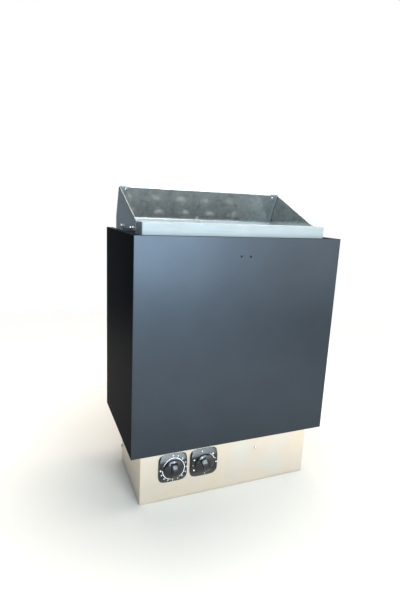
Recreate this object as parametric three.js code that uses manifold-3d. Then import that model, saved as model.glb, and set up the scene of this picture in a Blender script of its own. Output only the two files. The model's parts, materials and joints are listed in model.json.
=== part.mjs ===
// An electric sauna heater: a painted jacket round an open galvanised stone chamber with a hood,
// standing on a plain steel base that holds the controls. Millimetres, +Z up, front towards -Y.
// The pieces are laid out with y measured back from the jacket's front and z up from the floor.
// The last lines centre the whole, so that the origin is under the middle of its width and depth.
import * as THREE from 'three';
import { mergeVertices } from 'three/addons/utils/BufferGeometryUtils.js';
import Module from 'manifold-3d';

const wasm = await Module();
wasm.setup();

// Clearances
const seatGap = 0.2; // between faces that rest on each other
const boreGap = 0.3; // round a shank, tube or shaft in its hole
const turnGap = 0.6; // behind a knob
const slideGap = 0.5; // between the reset button's collar and the wall that keeps it in

// Fineness of round forms
const roundSides = 16;
const fastenerSides = 12;
const tubeSides = 8;
const foldSteps = 3;
const bendSteps = 6;

// Painted jacket
const jacketWidth = 400;
const jacketDepth = 238;
const jacketHeight = 389;
const jacketLift = 110; // its lower edge above the floor
const jacketSheet = 1.2;
const jacketBend = 2;
const jacketTopFlange = 11;
const jacketBottomFlange = 8;
const jacketRearFlange = 14;
const cornerExtra = 1; // how much rounder an upright corner is than a fold
const badgeHoleRadius = 1.8;
const badgeHoleSpacing = 18.2;
const badgeHoleDrop = 33.3; // below the jacket's top

// Control base
const baseInset = 21.5; // in from the jacket on each side
const baseSetback = 20; // behind the jacket's front
const baseDepth = 156;
const baseHeight = 133.4;
const baseSheet = 1.2;
const baseBend = 2.4;
const baseFlange = 10;
const coverSheet = 1.2;
const rearPanelSheet = 1.2;
const rearPanelMargin = 3; // clear of the base's rounded inside corners
const rearPanelTab = 13;
const rearPanelTabHeight = 16;

// Stone chamber and element plate
const galvanisedSheet = 1;
const chamberInset = 19; // hood's outside, in from the jacket on each side
const chamberRearGap = 5; // chamber's back, ahead of the jacket's rear edge
const chamberHeight = 382;
const wallFlange = 10;
const plateSheet = 1.2;
const airSlotWidth = 30;
const airSlotPitch = 42;
const airSlotColumns = 8;
const cutterReach = 5; // of a sheet's cutters, above and below its top
const airSlotMargin = 8; // between a rear air slot and the base's back, and the chamber's back

// Stone grate
const grateSheet = 1.5;
const grateRise = 30; // its top above the element plate
const grateGap = 0.5;
const grateEndGap = 2; // clear of the chamber walls' flanges
const grateSlotDepth = 20;

// Front rail, a channel open below
const railSetback = 28; // behind the jacket's front
const railDepth = 37;
const railHeight = 36;
const railRise = 1.1; // above the chamber's rim
const railInset = 1; // within the hood's outside on each side
const railBend = 2;

// Hood
const hoodFoldRise = 3.4; // fold of its back, above the chamber's rim
const hoodRise = 58.8; // its top, above the fold
const hoodReach = 26.7; // how far its top leans forward
const hoodSkirt = 24; // below the chamber's rim
const hoodNoseRise = 1.6; // front end of a side panel, above the rim
const hoodFlange = 17;
const hoodFlangeStart = 6; // above the fold
const topHem = 9;
const topHemGap = 2;
const sideHem = 4;
const sideHemStart = 10;
const sideHemEnd = 2;
const hoodRivetDrop = 12.4; // below the rim
const hoodRivetFront = 29; // behind the chamber's front
const hoodRivetRear = 62; // ahead of the chamber's back
const cornerRivetDrop = 6.5; // down the slope from the hood's top
const cornerRivetInset = 13;

// Rivets and screws
const rivetHeadRadius = 3;
const rivetHeadHeight = 1.5;
const rivetShankRadius = 1.6;
const rivetTail = 1.5; // past the inner sheet
const formedTailRadius = 2.4;
const formedTailHeight = 4.6;
const panHeadRadius = 3.2;
const panHeadHeight = 3;
const screwHeadRadius = 3.6;
const screwShankRadius = 1.7;
const screwRecess = 0.1; // below the face it is sunk in
const screwTail = 4; // past the inner sheet

// Heating elements
const elementTubeRadius = 4.2;
const elementRows = 3;
const elementFrontInset = 18.8; // front row, behind the chamber's front
const elementRearInset = 10; // rear row, ahead of the base's back
const elementLoops = 5;
const elementLegPitch = 32.5;
const elementBottom = 190; // lowest point of the loops' axis
const elementTop = 463; // highest point of the loops' axis
const elementTail = 14; // below the element plate
const terminalPinRadius = 2;
const terminalPinLength = 16;
const glandNutAcross = 17;
const glandNutHeight = 9;
const glandSleeveRadius = 6;
const glandSleeveLength = 8;

// Wall hanger
const hangerLength = 260;
const hangerFoot = 12;
const hangerFace = 28;
const hangerLift = 420; // lower edge above the floor
const keyholeSpacing = 200;
const keyholeHeadRadius = 5.5;
const keyholeNeckRadius = 3;
const keyholeRise = 9;

// Jacket fixings
const angleReach = 28; // its leg along the chamber's side, ahead of the chamber's back
const angleBottom = 150;
const angleTop = 470;
const angleSheet = 1.2;
const angleScrewInset = 30; // from each end of an angle strip
const stayWidth = 30;
const stayReach = 37; // along the element plate
const stayHeight = 34;

// Controls
const controlLevel = 67; // dial centres above the floor
const timerInset = 63; // its centre, in from the base's left side
const dialSpacing = 62.5;
const dialPlateWidth = 57;
const dialPlateHeight = 58;
const dialPlateCorner = 9;
const dialPlateRim = 0.6; // thickness at its edge
const dialPlateRise = 4.6; // of its crowned face, above the rim
const dialPlateCrown = 8; // width of the band that rises
const shaftRadius = 3;
const shaftInKnob = 9;
const shaftInBody = 12;
const shaftHoleRadius = 5;
const skirtRadius = 19;
const skirtThickness = 5.5;
const skirtTaper = 3;
const gripWidth = 10;
const gripLength = 33;
const gripDepth = 7.6;
const gripEdge = 1;
const thermostatRest = -25; // degrees, turned anticlockwise as seen from the front
const timerSize = 58;
const timerDepth = 40;
const thermostatSize = 46;
const thermostatDepth = 38;

// Thermostat's capillary and bulb
const capillaryRadius = 1.3;
const capillaryBend = 10;
const capillaryRearInset = 19; // its rise, ahead of the base's back
const capillaryRise = 14; // its level run above the element plate
const capillaryHoleGap = 1.2;
const bulbRadius = 3;
const bulbLength = 86;
const bulbDrop = 2; // its top below the chamber's rim
const bulbStandoff = 8; // its axis ahead of the chamber's rear wall
const clipWidth = 24;
const clipHeight = 14;
const clipDrop = 18; // its top below the chamber's rim
const clipWall = 1.2;

// Overheat limiter and its reset button
const limiterSize = 36;
const limiterSetback = 58; // centre, behind the base's front
const buttonRadius = 4;
const buttonReach = 3; // past the base's side
const collarRadius = 5;
const collarThickness = 2;
const limiterBoreDepth = 10;

// Mains connection
const terminalPoles = 5;
const terminalPitch = 17;
const terminalHeight = 30;
const terminalDepth = 24;
const terminalLevel = 45;
const terminalInset = 160.5; // its centre, in from the base's right side
const terminalScrewRadius = 4;
const terminalScrewDepth = 10;
const inletInset = 63.5; // in from the base's right side
const inletLevel = 45;
const inletSleeveRadius = 9;
const inletFlangeRadius = 14;
const inletFlangeLength = 8;
const inletNeckRadius = 11;
const inletNeckLength = 10;
const inletCordRadius = 5;
const inletSleeveLength = 12;
const locknutRadius = 13;
const locknutThickness = 5;

// Small fixings of the base
const sideScrewInset = 8; // ahead of the base's back
const sideScrewLevel = 39;
const frontRivetInset = 118.5; // in from the base's right side
const frontRivetLevel = 76.5;

// Levels above the floor
const jacketTop = jacketLift + jacketHeight;
const baseBottom = coverSheet + seatGap;
const baseTop = baseBottom + baseHeight;
const plateBottom = baseTop + seatGap;
const plateTop = plateBottom + plateSheet;
const chamberBottom = plateTop + seatGap;
const rim = chamberBottom + chamberHeight;
const foldLevel = rim + hoodFoldRise;
const skirtBottom = rim - hoodSkirt;
const grateTop = plateTop + grateRise;

// Half widths and depths behind the jacket's front
const jacketHalf = jacketWidth / 2;
const jacketInnerRear = jacketDepth - jacketSheet;
const baseHalf = jacketHalf - baseInset;
const baseInnerHalf = baseHalf - baseSheet;
const baseInnerFront = baseSetback + baseSheet;
const baseRear = baseSetback + baseDepth;
const timerPlace = timerInset - baseHalf;
const thermostatPlace = timerPlace + dialSpacing;
const terminalPlace = baseHalf - terminalInset;
const inletPlace = baseHalf - inletInset;
const frontRivetPlace = baseHalf - frontRivetInset;
const hoodHalf = jacketHalf - chamberInset;
const hoodInnerHalf = hoodHalf - galvanisedSheet;
const chamberHalf = hoodInnerHalf - seatGap;
const chamberInnerHalf = chamberHalf - galvanisedSheet;
const railRear = railSetback + railDepth;
const railHalf = hoodHalf - railInset;
const chamberFront = railRear + seatGap;
const chamberInnerFront = chamberFront + galvanisedSheet;
const chamberRear = jacketDepth - chamberRearGap;
const chamberInnerRear = chamberRear - galvanisedSheet;
const lipFront = chamberRear + seatGap;
const frontElementRow = chamberFront + elementFrontInset;
const rearElementRow = baseRear - elementRearInset;
const elementRowPitch = (rearElementRow - frontElementRow) / (elementRows - 1);
const elementHalf = (elementLoops - 0.5) * elementLegPitch;
const rearPanelBack = baseRear - baseSheet - seatGap;
const rearPanelFront = rearPanelBack - rearPanelSheet;
const capillaryPlace = baseRear - capillaryRearInset;
const bulbPlace = chamberInnerRear - bulbStandoff;

// The hood's back slopes forward above its fold.
const lean = Math.atan2(hoodReach, hoodRise);
const slope = Math.hypot(hoodReach, hoodRise);
const foldOffset = Math.tan(lean / 2);
const hoodFlangeFront = galvanisedSheet + seatGap;
const hoodFlangeRear = hoodFlangeFront + galvanisedSheet;

// Finishes
const paintedBlack = { color: '#3a424b', roughness: 0.5, metalness: 0.2 };
const galvanised = { color: '#b8c4c6', roughness: 0.35, metalness: 0.9 };
const brightSteel = { color: '#ded7cb', roughness: 0.35, metalness: 0.8 };
const fastenerSteel = { color: '#cdd2d4', roughness: 0.25, metalness: 1 };
const elementSteel = { color: '#75716a', roughness: 0.45, metalness: 0.9 };
const brass = { color: '#b8964e', roughness: 0.35, metalness: 1 };
const blackPlastic = { color: '#15181b', roughness: 0.3, metalness: 0 };
const paleCeramic = { color: '#e6e0d2', roughness: 0.5, metalness: 0 };
const greyPlastic = { color: '#8b9094', roughness: 0.5, metalness: 0 };
const redPlastic = { color: '#a8261f', roughness: 0.4, metalness: 0 };

// Solid of a closed geometry, for cutting and joining.
function solid(geometry) {
  const bare = geometry.clone();
  bare.deleteAttribute('normal');
  bare.deleteAttribute('uv');
  const merged = mergeVertices(bare, 1e-4);
  const index = merged.index.array;
  const triangles = [];
  for (let i = 0; i < index.length; i += 3) {
    const [a, b, c] = index.slice(i, i + 3);
    if (a !== b && b !== c && c !== a) triangles.push(a, b, c);
  }
  return new wasm.Manifold(new wasm.Mesh({
    numProp: 3,
    vertProperties: new Float32Array(merged.attributes.position.array),
    triVerts: new Uint32Array(triangles),
  }));
}

function geometryOf(manifold) {
  const mesh = manifold.getMesh();
  const geometry = new THREE.BufferGeometry();
  geometry.setAttribute('position', new THREE.BufferAttribute(mesh.vertProperties, 3));
  geometry.setIndex(new THREE.BufferAttribute(mesh.triVerts, 1));
  return geometry;
}

function join(...pieces) {
  return geometryOf(pieces.map(solid).reduce((whole, piece) => whole.add(piece)));
}

function cut(body, ...tools) {
  return geometryOf(tools.map(solid).reduce((left, tool) => left.subtract(tool), solid(body)));
}

// A plain block between two places on each axis.
function block(left, right, front, back, bottom, top) {
  const geometry = new THREE.BoxGeometry(right - left, back - front, top - bottom);
  return geometry.translate((left + right) / 2, (front + back) / 2, (bottom + top) / 2);
}

// A round rod along one axis, between two places on it.
function rod(axis, radius, from, to, sides = roundSides) {
  const geometry = new THREE.CylinderGeometry(radius, radius, to - from, sides);
  geometry.translate(0, (from + to) / 2, 0);
  if (axis === 'x') geometry.rotateZ(-Math.PI / 2);
  if (axis === 'z') geometry.rotateX(Math.PI / 2);
  return geometry;
}

function polygon(corners) {
  return new THREE.Shape(corners.map(([x, y]) => new THREE.Vector2(x, y)));
}

function roundedRectangle(width, height, radius) {
  const x = width / 2 - radius;
  const y = height / 2 - radius;
  const shape = new THREE.Shape();
  shape.absarc(x, y, radius, 0, Math.PI / 2);
  shape.absarc(-x, y, radius, Math.PI / 2, Math.PI);
  shape.absarc(-x, -y, radius, Math.PI, Math.PI * 1.5);
  shape.absarc(x, -y, radius, Math.PI * 1.5, Math.PI * 2);
  shape.closePath();
  return shape;
}

// A plan outline raised between two levels.
function raised(shape, bottom, top) {
  const settings = { depth: top - bottom, bevelEnabled: false, curveSegments: foldSteps };
  return new THREE.ExtrudeGeometry(shape, settings).translate(0, 0, bottom);
}

// A side profile, drawn as depth and level, drawn out between two places across the width.
function drawnAcross(shape, left, right) {
  const geometry = new THREE.ExtrudeGeometry(shape, { depth: right - left, bevelEnabled: false });
  const across = new THREE.Matrix4().makeBasis(
    new THREE.Vector3(0, 1, 0),
    new THREE.Vector3(0, 0, 1),
    new THREE.Vector3(1, 0, 0),
  );
  return geometry.applyMatrix4(across).translate(left, 0, 0);
}

// A front outline, thickened forward from y = 0, with its edges eased.
function thickenedForward(shape, thickness, edge) {
  const geometry = new THREE.ExtrudeGeometry(shape, {
    depth: thickness - 2 * edge,
    bevelThickness: edge,
    bevelSize: edge,
    bevelOffset: -edge,
    bevelSegments: 2,
    curveSegments: bendSteps,
  });
  return geometry.translate(0, 0, edge).rotateX(Math.PI / 2);
}

// A block with rounded upright corners and eased top and bottom edges, behind y = 0 and above z = 0.
function roundedBlock(width, depth, height, edge) {
  const geometry = new THREE.ExtrudeGeometry(roundedRectangle(width, depth, edge + cornerExtra), {
    depth: height - 2 * edge,
    bevelThickness: edge,
    bevelSize: edge,
    bevelOffset: -edge,
    bevelSegments: foldSteps,
    curveSegments: foldSteps,
  });
  return geometry.translate(0, depth / 2, edge);
}

// A front and two sides folded from one sheet, with flanges turned inward at top, bottom and rear.
function foldedBox({ width, depth, height, sheet, bend, topFlange, bottomFlange, rearFlange }) {
  const inside = roundedBlock(width - 2 * sheet, depth - 2 * sheet, height - 2 * sheet, bend - sheet);
  const topHalf = width / 2 - topFlange;
  const bottomHalf = width / 2 - bottomFlange;
  const rearHalf = width / 2 - rearFlange;
  return cut(
    roundedBlock(width, depth, height, bend),
    inside.translate(0, sheet, sheet),
    block(-topHalf, topHalf, topFlange, depth + sheet, height - 2 * sheet, height + sheet),
    block(-bottomHalf, bottomHalf, bottomFlange, depth + sheet, -sheet, 2 * sheet),
    block(-rearHalf, rearHalf, depth - 2 * sheet, depth + sheet, -sheet, height + sheet),
  );
}

// A turned profile of radius and height pairs, about the y axis.
function turned(profile, sides = fastenerSides) {
  return new THREE.LatheGeometry(profile.map(([r, y]) => new THREE.Vector2(r, y)), sides);
}

// A tube's route, taken through its stations without spacing them out again.
class StationPath extends THREE.Curve {
  constructor(stations) {
    super();
    this.stations = stations;
  }

  getPoint(t) {
    const place = t * (this.stations.length - 1);
    const first = Math.min(Math.floor(place), this.stations.length - 2);
    return this.stations[first].clone().lerp(this.stations[first + 1], place - first);
  }

  getPointAt(u) {
    return this.getPoint(u);
  }

  getTangentAt(u) {
    return this.getTangent(u);
  }
}

function tube(radius, stations) {
  const section = new THREE.Shape();
  section.absarc(0, 0, radius, 0, Math.PI * 2);
  return new THREE.ExtrudeGeometry(section, {
    steps: stations.length - 1,
    curveSegments: tubeSides / 2,
    extrudePath: new StationPath(stations),
  });
}

// Stations of a route with its corners rounded.
function roundedRoute(corners, radius) {
  const stations = [corners[0]];
  for (let i = 1; i < corners.length - 1; i += 1) {
    const corner = corners[i];
    const arrive = corners[i - 1].clone().sub(corner).setLength(radius).add(corner);
    const leave = corners[i + 1].clone().sub(corner).setLength(radius).add(corner);
    stations.push(...new THREE.QuadraticBezierCurve3(arrive, corner, leave).getPoints(bendSteps));
  }
  stations.push(corners[corners.length - 1]);
  return stations;
}

// Place on the hood's sloping back: up the slope from its fold, and behind its front face.
function onSlope(along, behind) {
  const y = lipFront - along * Math.sin(lean) + behind * Math.cos(lean);
  const z = foldLevel + along * Math.cos(lean) + behind * Math.sin(lean);
  return [y, z];
}

// Domed rivet or pan screw: its head's seat is y = 0, with its shank below.
function domedFastener(shankLength) {
  return turned([
    [0, -shankLength],
    [rivetShankRadius, -shankLength],
    [rivetShankRadius, 0],
    [rivetHeadRadius, 0],
    [rivetHeadRadius * 0.87, rivetHeadHeight * 0.5],
    [rivetHeadRadius * 0.5, rivetHeadHeight * 0.87],
    [0, rivetHeadHeight],
  ]);
}

// Rivet set from the inside: y = 0 is the outer sheet's face, its formed tail above and its flat head below.
function blindRivet(grip) {
  return turned([
    [0, -grip - rivetHeadHeight],
    [rivetHeadRadius, -grip - rivetHeadHeight],
    [rivetHeadRadius, -grip],
    [rivetShankRadius, -grip],
    [rivetShankRadius, 0],
    [formedTailRadius, 0],
    [formedTailRadius, formedTailHeight * 0.7],
    [formedTailRadius * 0.6, formedTailHeight],
    [0, formedTailHeight],
  ]);
}

// Pan-head screw: its seat is y = 0, with its shank below.
function panScrew(shankLength) {
  return turned([
    [0, -shankLength],
    [rivetShankRadius, -shankLength],
    [rivetShankRadius, 0],
    [panHeadRadius, 0],
    [panHeadRadius, panHeadHeight * 0.6],
    [panHeadRadius * 0.7, panHeadHeight],
    [0, panHeadHeight],
  ]);
}

// Countersunk screw: its flat head is y = 0, with its shank below.
function countersunkScrew(length) {
  return turned([
    [0, -length],
    [screwShankRadius, -length],
    [screwShankRadius, screwShankRadius - screwHeadRadius],
    [screwHeadRadius, 0],
    [0, 0],
  ]);
}

// What a countersunk screw's hole takes away, from just above the face at y = 0.
function countersink(length) {
  const head = screwHeadRadius + boreGap;
  const shank = screwShankRadius + boreGap;
  return turned([
    [0, -length],
    [shank, -length],
    [shank, shank - head],
    [head, 0],
    [head, boreGap],
    [0, boreGap],
  ]);
}

const sides = { left: -1, right: 1 };

// Where the repeated fasteners sit
const hoodRivetPlaces = { front: chamberFront + hoodRivetFront, rear: chamberRear - hoodRivetRear };
const hoodRivetLevel = rim - hoodRivetDrop;
const cornerRivetPlace = hoodHalf - cornerRivetInset;
const jacketScrewPlace = jacketHalf - jacketRearFlange / 2 - jacketBend / 2;
const jacketScrewLevels = { lower: angleBottom + angleScrewInset, upper: angleTop - angleScrewInset };
const coverScrewPlace = baseHalf - (baseFlange + baseBend) / 2;
const coverScrewDepths = { front: baseSetback + 2 * baseFlange, rear: baseRear - 2 * baseFlange };
const elementNames = ['front', 'middle', 'rear'];
const elementDepth = (row) => frontElementRow + row * elementRowPitch;

// Finishes the painted jacket with its two badge holes and its rear screw holes.
function outerJacket() {
  const shell = foldedBox({
    width: jacketWidth,
    depth: jacketDepth,
    height: jacketHeight,
    sheet: jacketSheet,
    bend: jacketBend,
    topFlange: jacketTopFlange,
    bottomFlange: jacketBottomFlange,
    rearFlange: jacketRearFlange,
  }).translate(0, 0, jacketLift);
  const holes = [];
  for (const side of Object.values(sides)) {
    const hole = rod('y', badgeHoleRadius, -jacketSheet, 2 * jacketSheet, fastenerSides);
    holes.push(hole.translate(side * badgeHoleSpacing / 2, 0, jacketTop - badgeHoleDrop));
    for (const level of Object.values(jacketScrewLevels)) {
      const hollow = countersink(2 * screwHeadRadius);
      holes.push(hollow.translate(side * jacketScrewPlace, jacketDepth, level));
    }
  }
  return cut(shell, ...holes);
}

// Strip that ties the chamber's side to the jacket's rear flange.
function jacketAngle(side) {
  const back = jacketInnerRear - seatGap;
  const inner = chamberHalf + seatGap;
  const outer = jacketHalf - jacketSheet - jacketBend - cornerExtra;
  const plan = polygon([
    [side * inner, chamberRear - angleReach],
    [side * (inner + angleSheet), chamberRear - angleReach],
    [side * (inner + angleSheet), back - angleSheet],
    [side * outer, back - angleSheet],
    [side * outer, back],
    [side * inner, back],
  ]);
  const holes = Object.values(jacketScrewLevels).map((level) => (
    countersink(2 * screwHeadRadius).translate(side * jacketScrewPlace, jacketDepth, level)
  ));
  return cut(raised(plan, angleBottom, angleTop), ...holes);
}

// Angled stay from the element plate to the inside of the jacket's front.
function jacketFrontStay() {
  const front = jacketSheet + seatGap;
  const bottom = plateTop + seatGap;
  const profile = polygon([
    [front, bottom],
    [baseSetback + stayReach, bottom],
    [baseSetback + stayReach, bottom + plateSheet],
    [front + plateSheet, bottom + plateSheet],
    [front + plateSheet, bottom + stayHeight],
    [front, bottom + stayHeight],
  ]);
  return drawnAcross(profile, -stayWidth / 2, stayWidth / 2);
}

// Channel with closed ends, open below.
function frontRail() {
  const spare = 2 * railBend; // cut off below
  const sheet = galvanisedSheet;
  const width = 2 * railHalf;
  const outside = roundedBlock(width, railDepth, railHeight + spare, railBend);
  const inside = roundedBlock(
    width - 2 * sheet,
    railDepth - 2 * sheet,
    railHeight + spare,
    railBend - sheet,
  ).translate(0, sheet, -sheet);
  const below = block(-width, width, -railDepth, 2 * railDepth, -spare, spare);
  return cut(outside, inside, below).translate(0, railSetback, rim + railRise - railHeight - spare);
}

// Chamber side with a flange turned in at each end, and holes for the hood's rivets.
function chamberSide(side) {
  const front = chamberInnerFront + seatGap;
  const back = chamberInnerRear - seatGap;
  const plan = polygon([
    [side * chamberHalf, front],
    [side * chamberHalf, back],
    [side * (chamberHalf - wallFlange), back],
    [side * (chamberHalf - wallFlange), back - galvanisedSheet],
    [side * chamberInnerHalf, back - galvanisedSheet],
    [side * chamberInnerHalf, front + galvanisedSheet],
    [side * (chamberHalf - wallFlange), front + galvanisedSheet],
    [side * (chamberHalf - wallFlange), front],
  ]);
  return cut(raised(plan, chamberBottom, rim), ...hoodRivetHoles(side));
}

function hoodRivetHoles(side) {
  const from = Math.min(side * chamberInnerHalf, side * hoodHalf) - galvanisedSheet;
  const to = Math.max(side * chamberInnerHalf, side * hoodHalf) + galvanisedSheet;
  return Object.values(hoodRivetPlaces).map((place) => (
    rod('x', rivetShankRadius + boreGap, from, to, fastenerSides).translate(0, place, hoodRivetLevel)
  ));
}

function cornerRivetHole(side) {
  const hole = rod('y', rivetShankRadius + boreGap, -galvanisedSheet, 4 * galvanisedSheet, fastenerSides);
  const [y, z] = onSlope(slope - cornerRivetDrop, 0);
  return hole.rotateX(lean).translate(side * cornerRivetPlace, y, z);
}

// Back of the hood: a lip down the chamber's back, then a slope forward to a hemmed top.
function hoodBackPanel() {
  const sheet = galvanisedSheet;
  const profile = polygon([
    [lipFront, skirtBottom],
    onSlope(0, 0),
    onSlope(slope, 0),
    onSlope(slope, sheet),
    [lipFront + sheet, foldLevel + sheet * foldOffset],
    [lipFront + sheet, skirtBottom],
  ]);
  const hem = polygon([
    onSlope(slope, sheet / 2),
    onSlope(slope, 2 * sheet),
    onSlope(slope - topHem, 2 * sheet),
    onSlope(slope - topHem, sheet / 2),
  ]);
  const hemHalf = hoodHalf - hoodFlange - topHemGap;
  const panel = join(drawnAcross(profile, -chamberHalf, chamberHalf), drawnAcross(hem, -hemHalf, hemHalf));
  return cut(panel, ...Object.values(sides).map(cornerRivetHole));
}

// Triangular side of the hood, with a hem along its sloping front and a flange behind the back panel.
function hoodSidePanel(side) {
  const sheet = galvanisedSheet;
  const across = (shape, outer, inner) => (
    drawnAcross(shape, Math.min(side * outer, side * inner), Math.max(side * outer, side * inner))
  );
  const front = railRear + 2 * seatGap;
  const nose = new THREE.Vector2(front, rim + hoodNoseRise);
  const top = new THREE.Vector2(...onSlope(slope, 0));
  const plate = polygon([
    [front, skirtBottom],
    nose.toArray(),
    top.toArray(),
    onSlope(slope, hoodFlangeRear),
    [lipFront + hoodFlangeRear, foldLevel + hoodFlangeRear * foldOffset],
    [lipFront + hoodFlangeRear, skirtBottom],
  ]);
  const flange = polygon([
    onSlope(hoodFlangeStart, hoodFlangeFront),
    onSlope(slope, hoodFlangeFront),
    onSlope(slope, hoodFlangeRear),
    onSlope(hoodFlangeStart, hoodFlangeRear),
  ]);
  const edge = top.clone().sub(nose).normalize();
  const inward = new THREE.Vector2(edge.y, -edge.x).multiplyScalar(sideHem);
  const hemStart = nose.clone().addScaledVector(edge, sideHemStart);
  const hemEnd = top.clone().addScaledVector(edge, -sideHemEnd);
  const hem = new THREE.Shape([hemStart, hemEnd, hemEnd.clone().add(inward), hemStart.clone().add(inward)]);
  const panel = join(
    across(plate, hoodHalf, hoodInnerHalf),
    across(flange, hoodHalf - sheet / 2, hoodHalf - hoodFlange),
    across(hem, hoodHalf - sheet / 2, hoodHalf - 2 * sheet),
  );
  return cut(panel, ...hoodRivetHoles(side), cornerRivetHole(side));
}

// Top-hat strip on the chamber's back, level with the jacket's rear edge, with two keyholes.
function wallHanger() {
  const near = chamberRear + seatGap;
  const foot = near + galvanisedSheet;
  const face = jacketDepth;
  const high = hangerFoot + hangerFace;
  const profile = polygon([
    [near, 0],
    [foot, 0],
    [foot, hangerFoot],
    [face, hangerFoot],
    [face, high],
    [foot, high],
    [foot, high + hangerFoot],
    [near, high + hangerFoot],
    [near, high - galvanisedSheet],
    [face - galvanisedSheet, high - galvanisedSheet],
    [face - galvanisedSheet, hangerFoot + galvanisedSheet],
    [near, hangerFoot + galvanisedSheet],
  ]);
  const strip = drawnAcross(profile, -hangerLength / 2, hangerLength / 2);
  const headLevel = hangerFoot + hangerFace / 2 - keyholeRise / 2;
  const keyholes = Object.values(sides).flatMap((side) => {
    const x = side * keyholeSpacing / 2;
    const neck = keyholeNeckRadius;
    const from = face - 2 * galvanisedSheet;
    const to = face + galvanisedSheet;
    return [
      rod('y', keyholeHeadRadius, from, to).translate(x, 0, headLevel),
      rod('y', neck, from, to).translate(x, 0, headLevel + keyholeRise),
      block(x - neck, x + neck, from, to, headLevel, headLevel + keyholeRise),
    ];
  });
  return cut(strip, ...keyholes).translate(0, 0, hangerLift);
}

// Upright cutters for a sheet whose top is at a level: a row of air slots, and a round hole.
function airSlots(depth, length, level) {
  const cutters = [];
  for (let column = 0; column < airSlotColumns; column += 1) {
    const x = (column - (airSlotColumns - 1) / 2) * airSlotPitch;
    const half = airSlotWidth / 2;
    const front = depth - length / 2;
    cutters.push(block(x - half, x + half, front, front + length, level - cutterReach, level + cutterReach));
  }
  return cutters;
}

function roundHole(x, y, radius, level) {
  return rod('z', radius, level - cutterReach, level + cutterReach, fastenerSides).translate(x, y, 0);
}

function elementHoles(radius, level) {
  const holes = [];
  for (let row = 0; row < elementRows; row += 1) {
    for (const side of Object.values(sides)) {
      holes.push(roundHole(side * elementHalf, elementDepth(row), radius, level));
    }
  }
  return holes;
}

// Floor of the stone chamber and lid of the base, with air slots behind the base.
function elementPlate() {
  const front = baseSetback + baseBend;
  const slotFront = baseRear + airSlotMargin;
  const slotBack = chamberRear - airSlotMargin;
  return cut(
    block(-chamberHalf, chamberHalf, front, chamberRear, plateBottom, plateTop),
    ...airSlots((slotFront + slotBack) / 2, slotBack - slotFront, plateTop),
    ...elementHoles(glandSleeveRadius + boreGap, plateTop),
    roundHole(thermostatPlace, capillaryPlace, capillaryRadius + capillaryHoleGap, plateTop),
  );
}

// Bench-shaped grate that keeps the stones off the element plate.
function stoneGrate() {
  const half = chamberInnerHalf - grateGap;
  const front = chamberInnerFront + seatGap + galvanisedSheet + grateEndGap;
  const back = chamberInnerRear - seatGap - galvanisedSheet - grateEndGap;
  const under = half - grateSheet;
  const bench = cut(
    block(-half, half, front, back, plateTop + seatGap, grateTop),
    block(-under, under, front - grateSheet, back + grateSheet, plateBottom, grateTop - grateSheet),
  );
  const slots = [];
  for (let row = 0; row < elementRows; row += 1) {
    slots.push(...airSlots(elementDepth(row) + elementRowPitch / 2, grateSlotDepth, grateTop));
  }
  return cut(
    bench,
    ...slots,
    ...elementHoles(elementTubeRadius + capillaryHoleGap, grateTop),
    roundHole(0, bulbPlace, capillaryRadius + capillaryHoleGap, grateTop),
  );
}

// Tubular element bent into upright loops, with a thin terminal pin at each end, at y = 0.
function heatingElement() {
  const radius = elementLegPitch / 2;
  const tail = plateBottom - elementTail;
  const stations = [new THREE.Vector3(-elementHalf, 0, tail)];
  for (let leg = 0; leg < 2 * elementLoops - 1; leg += 1) {
    const upward = leg % 2 === 0 ? 1 : -1;
    const middle = -elementHalf + (leg + 0.5) * elementLegPitch;
    const level = upward > 0 ? elementTop - radius : elementBottom + radius;
    for (let step = 0; step <= bendSteps; step += 1) {
      const angle = Math.PI * step / bendSteps;
      const x = middle - radius * Math.cos(angle);
      stations.push(new THREE.Vector3(x, 0, level + upward * radius * Math.sin(angle)));
    }
  }
  stations.push(new THREE.Vector3(elementHalf, 0, tail));
  const pins = Object.values(sides).map((side) => (
    rod('z', terminalPinRadius, tail - terminalPinLength, tail + elementTubeRadius, tubeSides)
      .translate(side * elementHalf, 0, 0)
  ));
  return join(tube(elementTubeRadius, stations), ...pins);
}

// Hexagon nut on a sleeve that passes down through the element plate, about the z axis.
function elementGland() {
  const nutRadius = glandNutAcross / Math.sqrt(3);
  const seat = plateTop + seatGap;
  const nut = rod('z', nutRadius, seat, seat + glandNutHeight, 6);
  const sleeve = rod('z', glandSleeveRadius, seat - glandSleeveLength, seat + glandNutHeight / 2);
  const reach = glandSleeveLength + glandNutHeight;
  const bore = rod('z', elementTubeRadius + boreGap, seat - reach, seat + reach);
  return cut(join(nut, sleeve), bore);
}

// Front and sides of the base, with holes for the control shafts, the button and the small fixings.
function baseHousing() {
  const shell = foldedBox({
    width: 2 * baseHalf,
    depth: baseDepth,
    height: baseHeight,
    sheet: baseSheet,
    bend: baseBend,
    topFlange: baseFlange,
    bottomFlange: baseFlange,
    rearFlange: baseFlange,
  }).translate(0, baseSetback, baseBottom);
  const through = 2 * baseSheet;
  const frontHole = (radius, x, z) => (
    rod('y', radius, baseSetback - through, baseSetback + through).translate(x, 0, z)
  );
  const holes = [
    frontHole(shaftHoleRadius, timerPlace, controlLevel),
    frontHole(shaftHoleRadius, thermostatPlace, controlLevel),
    frontHole(rivetShankRadius + boreGap, frontRivetPlace, frontRivetLevel),
    rod('x', buttonRadius + boreGap, baseHalf - through, baseHalf + through)
      .translate(0, baseSetback + limiterSetback, controlLevel),
  ];
  for (const side of Object.values(sides)) {
    holes.push(sideScrewHole(side));
    for (const depth of Object.values(coverScrewDepths)) {
      holes.push(coverScrewHole(side, depth));
    }
  }
  return cut(shell, ...holes);
}

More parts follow.
